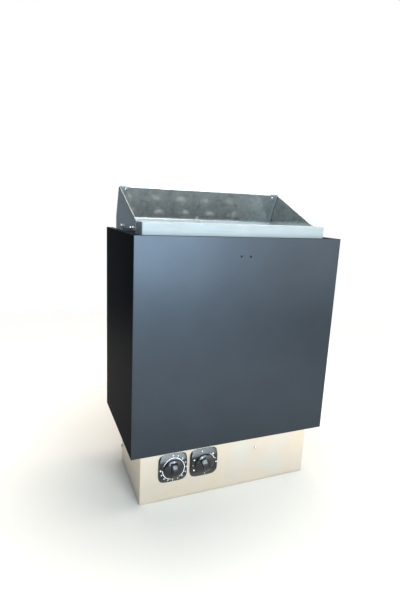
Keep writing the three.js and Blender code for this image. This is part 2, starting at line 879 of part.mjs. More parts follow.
function sideScrewHole(side) {
  const reach = baseHalf + baseSheet;
  const start = baseHalf - 2 * rearPanelTab;
  const hole = rod('x', rivetShankRadius + boreGap, start, reach, fastenerSides);
  if (side < 0) hole.rotateZ(Math.PI);
  return hole.translate(0, baseRear - sideScrewInset, sideScrewLevel);
}

function coverScrewHole(side, depth) {
  return countersink(2 * screwHeadRadius).rotateX(-Math.PI / 2).translate(side * coverScrewPlace, depth, 0);
}

// Removable floor of the base.
function baseBottomCover() {
  const plan = roundedRectangle(2 * baseHalf, baseDepth, baseBend + cornerExtra);
  const sheet = raised(plan, 0, coverSheet).translate(0, baseSetback + baseDepth / 2, 0);
  const holes = Object.values(sides).flatMap((side) => (
    Object.values(coverScrewDepths).map((depth) => coverScrewHole(side, depth))
  ));
  return cut(sheet, ...holes);
}

// Back of the base, with the cord inlet's hole and a tab for each side screw.
function baseRearPanel() {
  const half = baseInnerHalf - rearPanelMargin;
  const bottom = baseBottom + baseSheet + rearPanelMargin;
  const top = baseTop - baseSheet - rearPanelMargin;
  const tabs = Object.values(sides).map((side) => {
    const outer = side * half;
    const inner = side * (half - rearPanelSheet);
    return block(
      Math.min(outer, inner),
      Math.max(outer, inner),
      rearPanelFront - rearPanelTab,
      rearPanelBack,
      sideScrewLevel - rearPanelTabHeight / 2,
      sideScrewLevel + rearPanelTabHeight / 2,
    );
  });
  const inlet = rod('y', inletSleeveRadius + boreGap, rearPanelFront - rearPanelSheet, baseRear)
    .translate(inletPlace, 0, inletLevel);
  const panel = join(block(-half, half, rearPanelFront, rearPanelBack, bottom, top), ...tabs);
  return cut(panel, inlet, ...Object.values(sides).map(sideScrewHole));
}

// Black plate round a control, with a crowned face in front of its flat back at y = 0.
function dialPlate() {
  const outline = roundedRectangle(dialPlateWidth, dialPlateHeight, dialPlateCorner);
  const pillow = new THREE.ExtrudeGeometry(outline, {
    depth: 2 * dialPlateRim,
    bevelThickness: dialPlateRise,
    bevelSize: dialPlateCrown,
    bevelOffset: -dialPlateCrown,
    bevelSegments: bendSteps,
    curveSegments: bendSteps,
  }).translate(0, 0, -dialPlateRim).rotateX(Math.PI / 2);
  const wide = dialPlateWidth;
  const behind = block(-wide, wide, 0, wide, -dialPlateHeight, dialPlateHeight);
  return cut(pillow, behind, rod('y', shaftHoleRadius, -2 * dialPlateThickness, dialPlateThickness));
}

// Round skirt with a bar grip, its back at y = 0 and its pointer end up.
function knob() {
  const skirt = turned([
    [0, -skirtThickness],
    [skirtRadius - skirtTaper, -skirtThickness],
    [skirtRadius, -skirtThickness + skirtTaper],
    [skirtRadius, 0],
    [0, 0],
  ], 2 * roundSides);
  const grip = thickenedForward(
    roundedRectangle(gripWidth, gripLength, gripWidth / 2 - gripEdge / 2),
    skirtThickness / 2 + gripDepth,
    gripEdge,
  ).translate(0, -skirtThickness / 2, 0);
  const bore = rod('y', shaftRadius + boreGap, -shaftInKnob - boreGap, skirtThickness);
  return cut(join(skirt, grip), bore);
}

// Places of the controls, one behind another
const dialPlateBack = baseSetback - seatGap;
const dialPlateThickness = dialPlateRim + dialPlateRise;
const knobBack = dialPlateBack - dialPlateThickness - turnGap;
const controlBodyFront = baseInnerFront + boreGap;

function controlShaft() {
  return rod('y', shaftRadius, knobBack - shaftInKnob, controlBodyFront + shaftInBody);
}

// Case of a control behind the base's front, with the bore that its shaft turns in.
function controlBody(size, depth) {
  const front = controlBodyFront;
  const bore = rod('y', shaftRadius + boreGap, front - boreGap, front + shaftInBody + boreGap);
  return cut(block(-size / 2, size / 2, front, front + depth, -size / 2, size / 2), bore);
}

// Fine tube from the thermostat, through the element plate and grate, to the bulb on the rear wall.
function thermostatCapillary() {
  const start = controlBodyFront + thermostatDepth + seatGap;
  const level = plateTop + capillaryRise;
  const bulbTop = rim - bulbDrop;
  const bulbBottom = bulbTop - bulbLength;
  const route = [
    new THREE.Vector3(thermostatPlace, start, controlLevel),
    new THREE.Vector3(thermostatPlace, capillaryPlace, controlLevel),
    new THREE.Vector3(thermostatPlace, capillaryPlace, level),
    new THREE.Vector3(0, bulbPlace, level),
    new THREE.Vector3(0, bulbPlace, bulbBottom + bulbRadius),
  ];
  const bulb = rod('z', bulbRadius, bulbBottom, bulbTop, fastenerSides).translate(0, bulbPlace, 0);
  return join(tube(capillaryRadius, roundedRoute(route, capillaryBend)), bulb);
}

// Saddle that holds the bulb on the rear wall.
function sensorClip() {
  const back = chamberInnerRear - seatGap;
  const top = rim - clipDrop;
  const bottom = top - clipHeight;
  const reach = bulbRadius + boreGap + clipWall;
  const foot = block(-clipWidth / 2, clipWidth / 2, back - clipWall, back, bottom, top);
  const saddle = block(-reach, reach, bulbPlace - reach, back, bottom, top);
  const bore = rod('z', bulbRadius + boreGap, bottom - clipHeight, top + clipHeight, fastenerSides);
  return cut(join(foot, saddle), bore.translate(0, bulbPlace, 0));
}

// Limiter's case on the inside of the base's right wall, with the bore for its button's collar.
function limiterBody() {
  const outer = baseInnerHalf - boreGap;
  const middle = baseSetback + limiterSetback;
  const half = limiterSize / 2;
  const body = block(
    outer - limiterSize,
    outer,
    middle - half,
    middle + half,
    controlLevel - half,
    controlLevel + half,
  );
  const bore = rod('x', collarRadius + slideGap, outer - limiterBoreDepth, outer + boreGap);
  return cut(body, bore.translate(0, middle, controlLevel));
}

// Reset button, its collar's outer face at y = 0 and its tip along y.
function resetButton() {
  const tip = slideGap + baseSheet + buttonReach;
  return turned([
    [0, -collarThickness],
    [collarRadius, -collarThickness],
    [collarRadius, 0],
    [buttonRadius, 0],
    [buttonRadius, tip - baseSheet],
    [buttonRadius - baseSheet, tip],
    [0, tip],
  ], roundSides);
}

// Row of screw terminals on the inside of the base's rear panel.
function terminalBlock() {
  const back = rearPanelFront - boreGap;
  const half = terminalPoles * terminalPitch / 2;
  const body = block(
    terminalPlace - half,
    terminalPlace + half,
    back - terminalDepth,
    back,
    terminalLevel - terminalHeight / 2,
    terminalLevel + terminalHeight / 2,
  );
  const wells = [];
  for (let pole = 0; pole < terminalPoles; pole += 1) {
    const x = terminalPlace - half + (pole + 0.5) * terminalPitch;
    const front = back - terminalDepth;
    const well = rod('y', terminalScrewRadius, front - boreGap, front + terminalScrewDepth, fastenerSides);
    wells.push(well.translate(x, 0, terminalLevel));
  }
  return cut(body, ...wells);
}

// Cord inlet: a flanged sleeve through the rear panel, its flange's seat at y = 0.
function cableGland() {
  return turned([
    [inletCordRadius, -inletSleeveLength],
    [inletSleeveRadius, -inletSleeveLength],
    [inletSleeveRadius, 0],
    [inletFlangeRadius, 0],
    [inletFlangeRadius, inletFlangeLength],
    [inletNeckRadius, inletFlangeLength],
    [inletNeckRadius, inletFlangeLength + inletNeckLength],
    [inletCordRadius, inletFlangeLength + inletNeckLength],
    [inletCordRadius, -inletSleeveLength],
  ], roundSides);
}

// Nut on the inlet's sleeve, behind y = 0.
function glandLocknut() {
  const nut = rod('y', locknutRadius, -locknutThickness, 0, 6);
  return cut(nut, rod('y', inletSleeveRadius + boreGap, -2 * locknutThickness, locknutThickness));
}

const stove = new THREE.Group();

function add(name, geometry, finish, position = [0, 0, 0], rotation = [0, 0, 0]) {
  const mesh = new THREE.Mesh(geometry, new THREE.MeshStandardMaterial(finish));
  mesh.name = name;
  mesh.position.set(...position);
  mesh.rotation.set(...rotation);
  stove.add(mesh);
}

// Turns of a fastener whose head faces along y
const outward = { left: [0, 0, Math.PI / 2], right: [0, 0, -Math.PI / 2] };
const downward = [-Math.PI / 2, 0, 0];
const forward = [Math.PI, 0, 0];
const upTheSlope = [Math.PI + lean, 0, 0];

// Jacket and rail
add('outer_jacket', outerJacket(), paintedBlack);
add('jacket_front_stay', jacketFrontStay(), galvanised);
add('front_rail', frontRail(), galvanised);

// Chamber, hood and hanger
const frontWall = block(-chamberHalf, chamberHalf, chamberFront, chamberInnerFront, chamberBottom, rim);
const rearWall = block(-chamberHalf, chamberHalf, chamberInnerRear, chamberRear, chamberBottom, rim);
add('chamber_front_wall', frontWall, galvanised);
add('chamber_rear_wall', rearWall, galvanised);
add('hood_back_panel', hoodBackPanel(), galvanised);
add('wall_hanger', wallHanger(), galvanised);
add('element_plate', elementPlate(), galvanised);
add('stone_grate', stoneGrate(), galvanised);

// Base
add('base_housing', baseHousing(), brightSteel);
add('base_rear_panel', baseRearPanel(), brightSteel);
add('base_bottom_cover', baseBottomCover(), brightSteel);
const frontRivetLength = baseSheet + rivetTail;
const frontRivetSpot = [frontRivetPlace, baseSetback - seatGap, frontRivetLevel];
add('base_front_rivet', domedFastener(frontRivetLength), fastenerSteel, frontRivetSpot, forward);

// What is alike on the left and the right
const hoodRivetGrip = hoodHalf - chamberInnerHalf + 2 * seatGap;
const cornerRivetLength = hoodFlangeRear + rivetTail;
const jacketScrewLength = jacketSheet + angleSheet + seatGap + screwTail;
const coverScrewLength = coverSheet + baseSheet + seatGap + screwTail;
const sideScrewLength = baseSheet + rearPanelMargin + rearPanelSheet + screwTail;
for (const [name, side] of Object.entries(sides)) {
  add(`chamber_${name}_wall`, chamberSide(side), galvanised);
  add(`hood_${name}_panel`, hoodSidePanel(side), galvanised);
  add(`jacket_angle_${name}`, jacketAngle(side), galvanised);
  for (const [end, place] of Object.entries(hoodRivetPlaces)) {
    const spot = [side * (hoodHalf + seatGap), place, hoodRivetLevel];
    add(`hood_rivet_${name}_${end}`, blindRivet(hoodRivetGrip), fastenerSteel, spot, outward[name]);
  }
  const cornerSpot = [side * cornerRivetPlace, ...onSlope(slope - cornerRivetDrop, -seatGap)];
  const cornerRivet = domedFastener(cornerRivetLength + seatGap);
  add(`hood_corner_rivet_${name}`, cornerRivet, fastenerSteel, cornerSpot, upTheSlope);
  for (const [height, level] of Object.entries(jacketScrewLevels)) {
    const spot = [side * jacketScrewPlace, jacketDepth - screwRecess, level];
    add(`jacket_screw_${name}_${height}`, countersunkScrew(jacketScrewLength), fastenerSteel, spot);
  }
  for (const [end, depth] of Object.entries(coverScrewDepths)) {
    const spot = [side * coverScrewPlace, depth, screwRecess];
    add(`cover_screw_${name}_${end}`, countersunkScrew(coverScrewLength), fastenerSteel, spot, downward);
  }
  const sideSpot = [side * (baseHalf + seatGap), baseRear - sideScrewInset, sideScrewLevel];
  add(`base_side_screw_${name}`, panScrew(sideScrewLength), fastenerSteel, sideSpot, outward[name]);
}

// Heating elements and their glands
for (let row = 0; row < elementRows; row += 1) {
  const depth = elementDepth(row);
  add(`heating_element_${elementNames[row]}`, heatingElement(), elementSteel, [0, depth, 0]);
  for (const [name, side] of Object.entries(sides)) {
    const spot = [side * elementHalf, depth, 0];
    add(`element_gland_${elementNames[row]}_${name}`, elementGland(), brass, spot);
  }
}

// Controls
const thermostatTurn = [0, THREE.MathUtils.degToRad(thermostatRest), 0];
add('timer_plate', dialPlate(), blackPlastic, [timerPlace, dialPlateBack, controlLevel]);
add('timer_body', controlBody(timerSize, timerDepth), greyPlastic, [timerPlace, 0, controlLevel]);
add('timer_shaft', controlShaft(), fastenerSteel, [timerPlace, 0, controlLevel]);
add('timer_knob', knob(), blackPlastic, [timerPlace, knobBack, controlLevel]);
const thermostatSpot = [thermostatPlace, 0, controlLevel];
add('thermostat_plate', dialPlate(), blackPlastic, [thermostatPlace, dialPlateBack, controlLevel]);
add('thermostat_body', controlBody(thermostatSize, thermostatDepth), greyPlastic, thermostatSpot);
add('thermostat_shaft', controlShaft(), fastenerSteel, thermostatSpot);
add('thermostat_knob', knob(), blackPlastic, [thermostatPlace, knobBack, controlLevel], thermostatTurn);
add('thermostat_capillary', thermostatCapillary(), elementSteel);
add('sensor_clip', sensorClip(), galvanised);
const buttonSpot = [baseInnerHalf - slideGap, baseSetback + limiterSetback, controlLevel];
add('limiter_body', limiterBody(), paleCeramic);
add('reset_button', resetButton(), redPlastic, buttonSpot, outward.right);

// Mains connection
add('terminal_block', terminalBlock(), paleCeramic);
add('cable_gland', cableGland(), greyPlastic, [inletPlace, rearPanelBack + seatGap, inletLevel]);
add('gland_locknut', glandLocknut(), greyPlastic, [inletPlace, rearPanelFront - seatGap, inletLevel]);

stove.position.set(0, -jacketDepth / 2, 0);

export default stove;
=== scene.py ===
"""Looks of the sauna heater: painted jacket, galvanised hood and stone chamber, bright steel base.

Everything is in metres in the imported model's own frame: x to the right, y to the back, z up."""
import json
import math

import bmesh
import bpy
from mathutils import Matrix, Vector


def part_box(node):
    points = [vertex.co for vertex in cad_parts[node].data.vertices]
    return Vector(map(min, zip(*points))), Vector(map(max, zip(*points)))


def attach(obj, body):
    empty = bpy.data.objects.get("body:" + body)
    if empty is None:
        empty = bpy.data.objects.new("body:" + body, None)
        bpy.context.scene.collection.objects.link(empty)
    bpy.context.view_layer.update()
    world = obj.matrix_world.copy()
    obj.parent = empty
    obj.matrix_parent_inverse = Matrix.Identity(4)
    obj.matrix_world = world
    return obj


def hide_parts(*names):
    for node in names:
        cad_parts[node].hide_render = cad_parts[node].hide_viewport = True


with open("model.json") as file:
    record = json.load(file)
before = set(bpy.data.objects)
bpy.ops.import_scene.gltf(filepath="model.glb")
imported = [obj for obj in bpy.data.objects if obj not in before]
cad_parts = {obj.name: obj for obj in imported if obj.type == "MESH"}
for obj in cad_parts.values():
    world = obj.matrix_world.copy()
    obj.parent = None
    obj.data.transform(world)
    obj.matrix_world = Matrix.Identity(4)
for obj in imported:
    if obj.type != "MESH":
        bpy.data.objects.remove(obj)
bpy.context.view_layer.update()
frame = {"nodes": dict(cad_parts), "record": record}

MM = 0.001
RIGHT, BACK, UP = Vector((1, 0, 0)), Vector((0, 1, 0)), Vector((0, 0, 1))
SIDES = {"left": -1, "right": 1}

# Sheets, their folds and flanges, in millimetres
JACKET_SHEET, JACKET_BEND = 1.2, 1.4
JACKET_FLANGES = {"top": 11, "bottom": 8, "rear": 14}
BASE_SHEET, BASE_BEND = 1.2, 1.8
BASE_FLANGES = {"top": 10, "bottom": 10, "rear": 10}
THIN_SHEET, RAIL_BEND, FLANGE_BEND = 1.0, 2.0, 0.6
BEND_STEPS = 6

# Hood: its back's fold, slope and lean, and its hems
HOOD_FOLD_Y, HOOD_FOLD_Z = 114.2, 521.8
HOOD_REACH, HOOD_RISE = 26.7, 58.8
HOOD_LEAN = math.atan2(HOOD_REACH, HOOD_RISE)
HOOD_SLOPE = math.hypot(HOOD_REACH, HOOD_RISE)
HOOD_NOSE = 520.0
HOOD_FLANGE, HOOD_FLANGE_START, HOOD_FLANGE_BACK = 17.0, 6.0, 2.2
HEM_SHEET, HEM_RADIUS = 0.65, 0.7
TOP_HEM, SIDE_HEM, BACK_LIP = 9.0, 4.0, 3.0
CORNER_RIVET_INSET, CORNER_RIVET_DROP = 13.0, 6.5

# Heating elements
ELEMENT_TUBE, ELEMENT_PITCH, ELEMENT_LEGS = 4.2, 32.5, 10
ELEMENT_BOTTOM, ELEMENT_PIN = 190.0, 16.0

# Fasteners, as (radius, height) points above the underside of the head or the face of a sunk one
RIVET_HEIGHT, TAIL_HEIGHT, PAN_HEIGHT = 1.5, 4.6, 3.0
RIVET_PROFILE = (
    (0, 0.7), (0.75, 0.65), (0.85, 1.35), (1.2, 1.5), (2.0, 1.3), (2.7, 0.75), (3.0, 0.1), (2.95, 0),
    (1.6, 0), (1.6, -3), (0, -3),
)
TAIL_PROFILE = (
    (0, 4.6), (0.9, 4.5), (1.2, 4.2), (1.3, 3.6), (1.9, 3.5), (2.3, 3.1), (2.4, 1.8), (2.2, 0.5), (1.9, 0),
    (1.6, 0), (1.6, -2.6), (3, -2.6), (2.7, -3.3), (1.5, -4), (0, -4.1),
)
PAN_PROFILE = (
    (0, 3), (1.6, 2.95), (2.4, 2.7), (2.9, 2.2), (3.15, 1.5), (3.2, 0.3), (3.1, 0), (1.6, 0), (1.6, -8), (0, -8.6),
)
SUNK_PROFILE = ((0, 0), (3.5, 0), (3.6, -0.1), (1.7, -2.0), (1.7, -6), (0, -6.6))

# Dials and knobs
PLATE_RIM, PLATE_RISE, PLATE_FLAT = 0.3, 5.0, 0.5
PLATE_SQUARENESS, PLATE_CROWN, PLATE_EDGE = 5.0, 1.2, 40.0
INK_THICKNESS = 0.06
TIMER_NUMERALS = "0123412345678"
THERMOSTAT_TICKS = ((-10, 25.0, 1.2), (74, 24.6, 0.8), (92.4, 27.0, 1.4), (174, 25.2, 1.0), (267, 24.4, 0.8))
THERMOSTAT_DOTS = ((45.7, 24.4), (241.5, 24.2), (295, 23.4))
THERMOSTAT_REST = -25
SKIRT_PROFILE = (
    (0, 0), (18.6, 0), (19, 0.4), (19, 1.1), (18.7, 1.6), (17.7, 2.25), (15.9, 3.15), (14.1, 4), (12.6, 4.6),
    (11, 5.0), (8.5, 5.35), (0, 5.5),
)
GRIP_WIDTH, GRIP_TAPER, GRIP_LENGTH, GRIP_ARCH = 15.0, 0.5, 28.5, 20.0

# Cable inlet
GLAND_REACH = 18.0
GLAND_PROFILE = (
    (0, -12), (9, -12), (9, 0), (11, 0), (11, 14), (10.4, 16), (9, 17.4), (7.5, 18), (0, 18),
)

# Photograph: its size in pixels and the focal length in pixels
PHOTO_WIDTH, FOCAL_PIXELS = 400, 429.43
CAMERA_PLACE = (-0.35645, -0.78101, 0.54468)
CAMERA_TURN, CAMERA_TILT, CAMERA_ROLL = -22.40, 77.942, 2.587
SENSOR_WIDTH = 36

scene = bpy.context.scene
scene.view_settings.view_transform = "Standard"


def linear(code):
    """Linear RGBA of an sRGB hex colour."""
    parts = [int(code[i:i + 2], 16) / 255 for i in (1, 3, 5)]
    return [c / 12.92 if c <= 0.04045 else ((c + 0.055) / 1.055) ** 2.4 for c in parts] + [1.0]


def per_metre(size):
    """Texture scale whose features are about this many millimetres wide."""
    return 1 / (size * MM)


def add_node(tree, kind, inputs=None, **settings):
    """A new node with its settings; an input is a value or another node's output socket."""
    node = tree.nodes.new(kind)
    for name, value in settings.items():
        setattr(node, name, value)
    for socket, value in (inputs or {}).items():
        if isinstance(value, bpy.types.NodeSocket):
            tree.links.new(value, node.inputs[socket])
        else:
            node.inputs[socket].default_value = value
    return node


def new_material(name, constants):
    """A material with one shader, whose even values are set on the shader's own sockets."""
    material = bpy.data.materials.new(name)
    material.use_nodes = True
    tree = material.node_tree
    shader = tree.nodes["Principled BSDF"]
    for socket, value in constants.items():
        shader.inputs[socket].default_value = value
    place = add_node(tree, "ShaderNodeTexCoord").outputs["Object"]
    return material, tree, shader, place


def anthracite_powder_coat():
    """Dark blue-grey metallic powder coat, baked on steel: a satin sheen that takes the colour of the
    paint, fades at a glancing view, and is broken up by a fine orange peel."""
    material, tree, shader, place = new_material("anthracite_powder_coat", {
        "Metallic": 0.92,
        "Specular Tint": linear("#343434"),
    })
    # Orange peel is under 1 mm wide on the real paint, drawn at 2.2 mm so that it shows.
    peel = add_node(tree, "ShaderNodeTexNoise", {"Vector": place, "Scale": per_metre(2.2), "Detail": 2.0})
    cloud = add_node(tree, "ShaderNodeTexNoise", {"Vector": place, "Scale": per_metre(60), "Detail": 3.0})
    tone = add_node(tree, "ShaderNodeMix", {
        "Factor": cloud.outputs[0],
        6: linear("#383d44"),
        7: linear("#3e454c"),
    }, data_type="RGBA")
    gloss = add_node(tree, "ShaderNodeMapRange", {"Value": peel.outputs[0], "To Min": 0.3, "To Max": 0.38})
    bump = add_node(tree, "ShaderNodeBump", {
        "Height": peel.outputs[0],
        "Strength": 0.12,
        "Distance": 0.3 * MM,
    })
    tree.links.new(tone.outputs[2], shader.inputs["Base Color"])
    tree.links.new(gloss.outputs[0], shader.inputs["Roughness"])
    tree.links.new(bump.outputs[0], shader.inputs["Normal"])
    return material


def galvanised_steel():
    """Hot-dip galvanised sheet: a cool grey semi-mirror, mottled by small zinc crystals and cloudy patches,
    whose slight waves smear what it reflects."""
    material, tree, shader, place = new_material("galvanised_steel", {"Metallic": 0.85})
    spangle = add_node(tree, "ShaderNodeTexVoronoi", {
        "Vector": place,
        "Scale": per_metre(7),
        "Randomness": 1.0,
    }, feature="SMOOTH_F1")
    cloud = add_node(tree, "ShaderNodeTexNoise", {"Vector": place, "Scale": per_metre(22), "Detail": 5.0})
    patch = add_node(tree, "ShaderNodeMath", {
        0: spangle.outputs["Distance"],
        1: cloud.outputs[0],
    }, operation="MULTIPLY_ADD")
    patch.inputs[2].default_value = 0.2
    tone = add_node(tree, "ShaderNodeMix", {
        "Factor": patch.outputs[0],
        6: linear("#e6ebea"),
        7: linear("#8e999c"),
    }, data_type="RGBA")
    gloss = add_node(tree, "ShaderNodeMapRange", {"Value": cloud.outputs[0], "To Min": 0.12, "To Max": 0.2})
    wave = add_node(tree, "ShaderNodeTexNoise", {"Vector": place, "Scale": per_metre(45), "Detail": 1.0})
    waves = add_node(tree, "ShaderNodeBump", {
        "Height": wave.outputs[0],
        "Strength": 0.25,
        "Distance": 1.2 * MM,
    })
    bump = add_node(tree, "ShaderNodeBump", {
        "Height": patch.outputs[0],
        "Strength": 0.1,
        "Distance": 0.2 * MM,
        "Normal": waves.outputs[0],
    })
    tree.links.new(tone.outputs[2], shader.inputs["Base Color"])
    tree.links.new(gloss.outputs[0], shader.inputs["Roughness"])
    tree.links.new(bump.outputs[0], shader.inputs["Normal"])
    return material


def rolled_zinc(name, metallic, light, dark):
    """Galvanised strip that was drawn through rollers: pale, with fine lines along its length. Where heat has
    dulled the zinc, its metallic share is lower."""
    material, tree, shader, place = new_material(name, {"Metallic": metallic})
    # Roller lines are about 0.3 mm wide, drawn at 1.2 mm so that they show.
    stretched = add_node(tree, "ShaderNodeMapping", {"Vector": place, "Scale": (0.02, 1.0, 1.0)})
    lines = add_node(tree, "ShaderNodeTexNoise", {
        "Vector": stretched.outputs[0],
        "Scale": per_metre(1.2),
        "Detail": 3.0,
    })
    cloud = add_node(tree, "ShaderNodeTexNoise", {"Vector": place, "Scale": per_metre(25), "Detail": 3.0})
    tone = add_node(tree, "ShaderNodeMix", {
        "Factor": lines.outputs[0],
        6: linear(light),
        7: linear(dark),
    }, data_type="RGBA")
    gloss = add_node(tree, "ShaderNodeMapRange", {"Value": cloud.outputs[0], "To Min": 0.62, "To Max": 0.72})
    bump = add_node(tree, "ShaderNodeBump", {
        "Height": lines.outputs[0],
        "Strength": 0.15,
        "Distance": 0.15 * MM,
    })
    tree.links.new(tone.outputs[2], shader.inputs["Base Color"])
    tree.links.new(gloss.outputs[0], shader.inputs["Roughness"])
    tree.links.new(bump.outputs[0], shader.inputs["Normal"])
    return material


def bright_stainless():
    """Cold-rolled ferritic stainless sheet: a warm pale silver with soft cloudy smudges and a faint grain."""
    material, tree, shader, place = new_material("bright_stainless", {"Metallic": 1.0})
    smudge = add_node(tree, "ShaderNodeTexNoise", {
        "Vector": place,
        "Scale": per_metre(80),
        "Detail": 3.0,
        "Distortion": 0.4,
    })
    # Rolling grain is about 0.2 mm wide, drawn at 1 mm so that it shows.
    stretched = add_node(tree, "ShaderNodeMapping", {"Vector": place, "Scale": (0.03, 0.03, 1.0)})
    grain = add_node(tree, "ShaderNodeTexNoise", {
        "Vector": stretched.outputs[0],
        "Scale": per_metre(1.0),
        "Detail": 2.0,
    })
    tone = add_node(tree, "ShaderNodeValToRGB", {"Fac": smudge.outputs[0]})
    tone.color_ramp.elements[0].position = 0.34
    tone.color_ramp.elements[0].color = linear("#d7cbb7")
    tone.color_ramp.elements[1].position = 0.68
    tone.color_ramp.elements[1].color = linear("#cfccc3")
    tone.color_ramp.elements.new(0.46).color = linear("#d6ccbd")
    tone.color_ramp.elements.new(0.56).color = linear("#d4c9bc")
    gloss = add_node(tree, "ShaderNodeMapRange", {"Value": smudge.outputs[0], "To Min": 0.4, "To Max": 0.52})
    waves = add_node(tree, "ShaderNodeBump", {
        "Height": smudge.outputs[0],
        "Strength": 0.2,
        "Distance": 1.5 * MM,
    })
    bump = add_node(tree, "ShaderNodeBump", {
        "Height": grain.outputs[0],
        "Strength": 0.06,
        "Distance": 0.1 * MM,
        "Normal": waves.outputs[0],
    })
    tree.links.new(tone.outputs[0], shader.inputs["Base Color"])
    tree.links.new(gloss.outputs[0], shader.inputs["Roughness"])
    tree.links.new(bump.outputs[0], shader.inputs["Normal"])
    return material


def zinc_plated_steel():
    """Zinc-plated rivets, screws and shafts: bright, slightly blue, with faint tool marks."""
    material, tree, shader, place = new_material("zinc_plated_steel", {"Metallic": 1.0})
    marks = add_node(tree, "ShaderNodeTexNoise", {"Vector": place, "Scale": per_metre(1.5), "Detail": 3.0})
    tone = add_node(tree, "ShaderNodeMix", {
        "Factor": marks.outputs[0],
        6: linear("#d6dbde"),
        7: linear("#b9c0c5"),
    }, data_type="RGBA")
    gloss = add_node(tree, "ShaderNodeMapRange", {"Value": marks.outputs[0], "To Min": 0.16, "To Max": 0.34})
    tree.links.new(tone.outputs[2], shader.inputs["Base Color"])
    tree.links.new(gloss.outputs[0], shader.inputs["Roughness"])
    return material


def heat_stained_sheath():
    """Nickel alloy sheath of a heating element after its first firing: grey-brown, dull, with blue-brown
    bands where it has been hottest."""
    material, tree, shader, place = new_material("heat_stained_sheath", {"Metallic": 1.0})
    stain = add_node(tree, "ShaderNodeTexNoise", {"Vector": place, "Scale": per_metre(40), "Detail": 4.0})
    ramp = add_node(tree, "ShaderNodeValToRGB", {"Fac": stain.outputs[0]})
    ramp.color_ramp.elements[0].position = 0.3
    ramp.color_ramp.elements[0].color = linear("#b3aea4")
    ramp.color_ramp.elements[1].position = 0.7
    ramp.color_ramp.elements[1].color = linear("#a3988a")
    ramp.color_ramp.elements.new(0.5).color = linear("#bdbdb8")
    scale = add_node(tree, "ShaderNodeTexNoise", {"Vector": place, "Scale": per_metre(1.5), "Detail": 4.0})
    gloss = add_node(tree, "ShaderNodeMapRange", {"Value": scale.outputs[0], "To Min": 0.3, "To Max": 0.5})
    bump = add_node(tree, "ShaderNodeBump", {
        "Height": scale.outputs[0],
        "Strength": 0.15,
        "Distance": 0.2 * MM,
    })
    tree.links.new(ramp.outputs[0], shader.inputs["Base Color"])
    tree.links.new(gloss.outputs[0], shader.inputs["Roughness"])
    tree.links.new(bump.outputs[0], shader.inputs["Normal"])
    return material


def turned_brass():
    """Turned brass of the element glands and the capillary: yellow, a little dulled in places."""
    material, tree, shader, place = new_material("turned_brass", {"Metallic": 1.0})
    tarnish = add_node(tree, "ShaderNodeTexNoise", {"Vector": place, "Scale": per_metre(8), "Detail": 4.0})
    tone = add_node(tree, "ShaderNodeMix", {
        "Factor": tarnish.outputs[0],
        6: linear("#cdb06a"),
        7: linear("#9c7f45"),
    }, data_type="RGBA")
    gloss = add_node(tree, "ShaderNodeMapRange", {"Value": tarnish.outputs[0], "To Min": 0.2, "To Max": 0.42})
    tree.links.new(tone.outputs[2], shader.inputs["Base Color"])
    tree.links.new(gloss.outputs[0], shader.inputs["Roughness"])
    return material


def black_abs():
    """Injection-moulded black ABS of the dial plates: near black and glossy, with a hint of mould texture."""
    material, tree, shader, place = new_material("black_abs", {"IOR": 1.54})
    grain = add_node(tree, "ShaderNodeTexNoise", {"Vector": place, "Scale": per_metre(1.2), "Detail": 2.0})
    tone = add_node(tree, "ShaderNodeMix", {
        "Factor": grain.outputs[0],
        6: linear("#0b0c0e"),
        7: linear("#131517"),
    }, data_type="RGBA")
    gloss = add_node(tree, "ShaderNodeMapRange", {"Value": grain.outputs[0], "To Min": 0.24, "To Max": 0.32})
    bump = add_node(tree, "ShaderNodeBump", {
        "Height": grain.outputs[0],
        "Strength": 0.06,
        "Distance": 0.1 * MM,
    })
    tree.links.new(tone.outputs[2], shader.inputs["Base Color"])
    tree.links.new(gloss.outputs[0], shader.inputs["Roughness"])
    tree.links.new(bump.outputs[0], shader.inputs["Normal"])
    return material


def black_nylon():
    """Moulded black nylon of the knobs: a shade greyer and more satin than the plates."""
    material, tree, shader, place = new_material("black_nylon", {"IOR": 1.53})
    grain = add_node(tree, "ShaderNodeTexNoise", {"Vector": place, "Scale": per_metre(0.9), "Detail": 3.0})
    tone = add_node(tree, "ShaderNodeMix", {
        "Factor": grain.outputs[0],
        6: linear("#0c0d0e"),
        7: linear("#17191b"),
    }, data_type="RGBA")
    gloss = add_node(tree, "ShaderNodeMapRange", {"Value": grain.outputs[0], "To Min": 0.16, "To Max": 0.26})
    bump = add_node(tree, "ShaderNodeBump", {
        "Height": grain.outputs[0],
        "Strength": 0.1,
        "Distance": 0.1 * MM,
    })
    tree.links.new(tone.outputs[2], shader.inputs["Base Color"])
    tree.links.new(gloss.outputs[0], shader.inputs["Roughness"])
    tree.links.new(bump.outputs[0], shader.inputs["Normal"])
    return material


def white_pad_print():
    """Pad-printed white ink on the dials: matt, with slightly uneven cover."""
    material, tree, shader, place = new_material("white_pad_print", {"IOR": 1.5})
    cover = add_node(tree, "ShaderNodeTexNoise", {"Vector": place, "Scale": per_metre(0.8), "Detail": 2.0})
    tone = add_node(tree, "ShaderNodeMix", {
        "Factor": cover.outputs[0],
        6: linear("#f2f4f5"),
        7: linear("#d9dee2"),
    }, data_type="RGBA")
    gloss = add_node(tree, "ShaderNodeMapRange", {"Value": cover.outputs[0], "To Min": 0.45, "To Max": 0.6})
    tree.links.new(tone.outputs[2], shader.inputs["Base Color"])
    tree.links.new(gloss.outputs[0], shader.inputs["Roughness"])
    return material


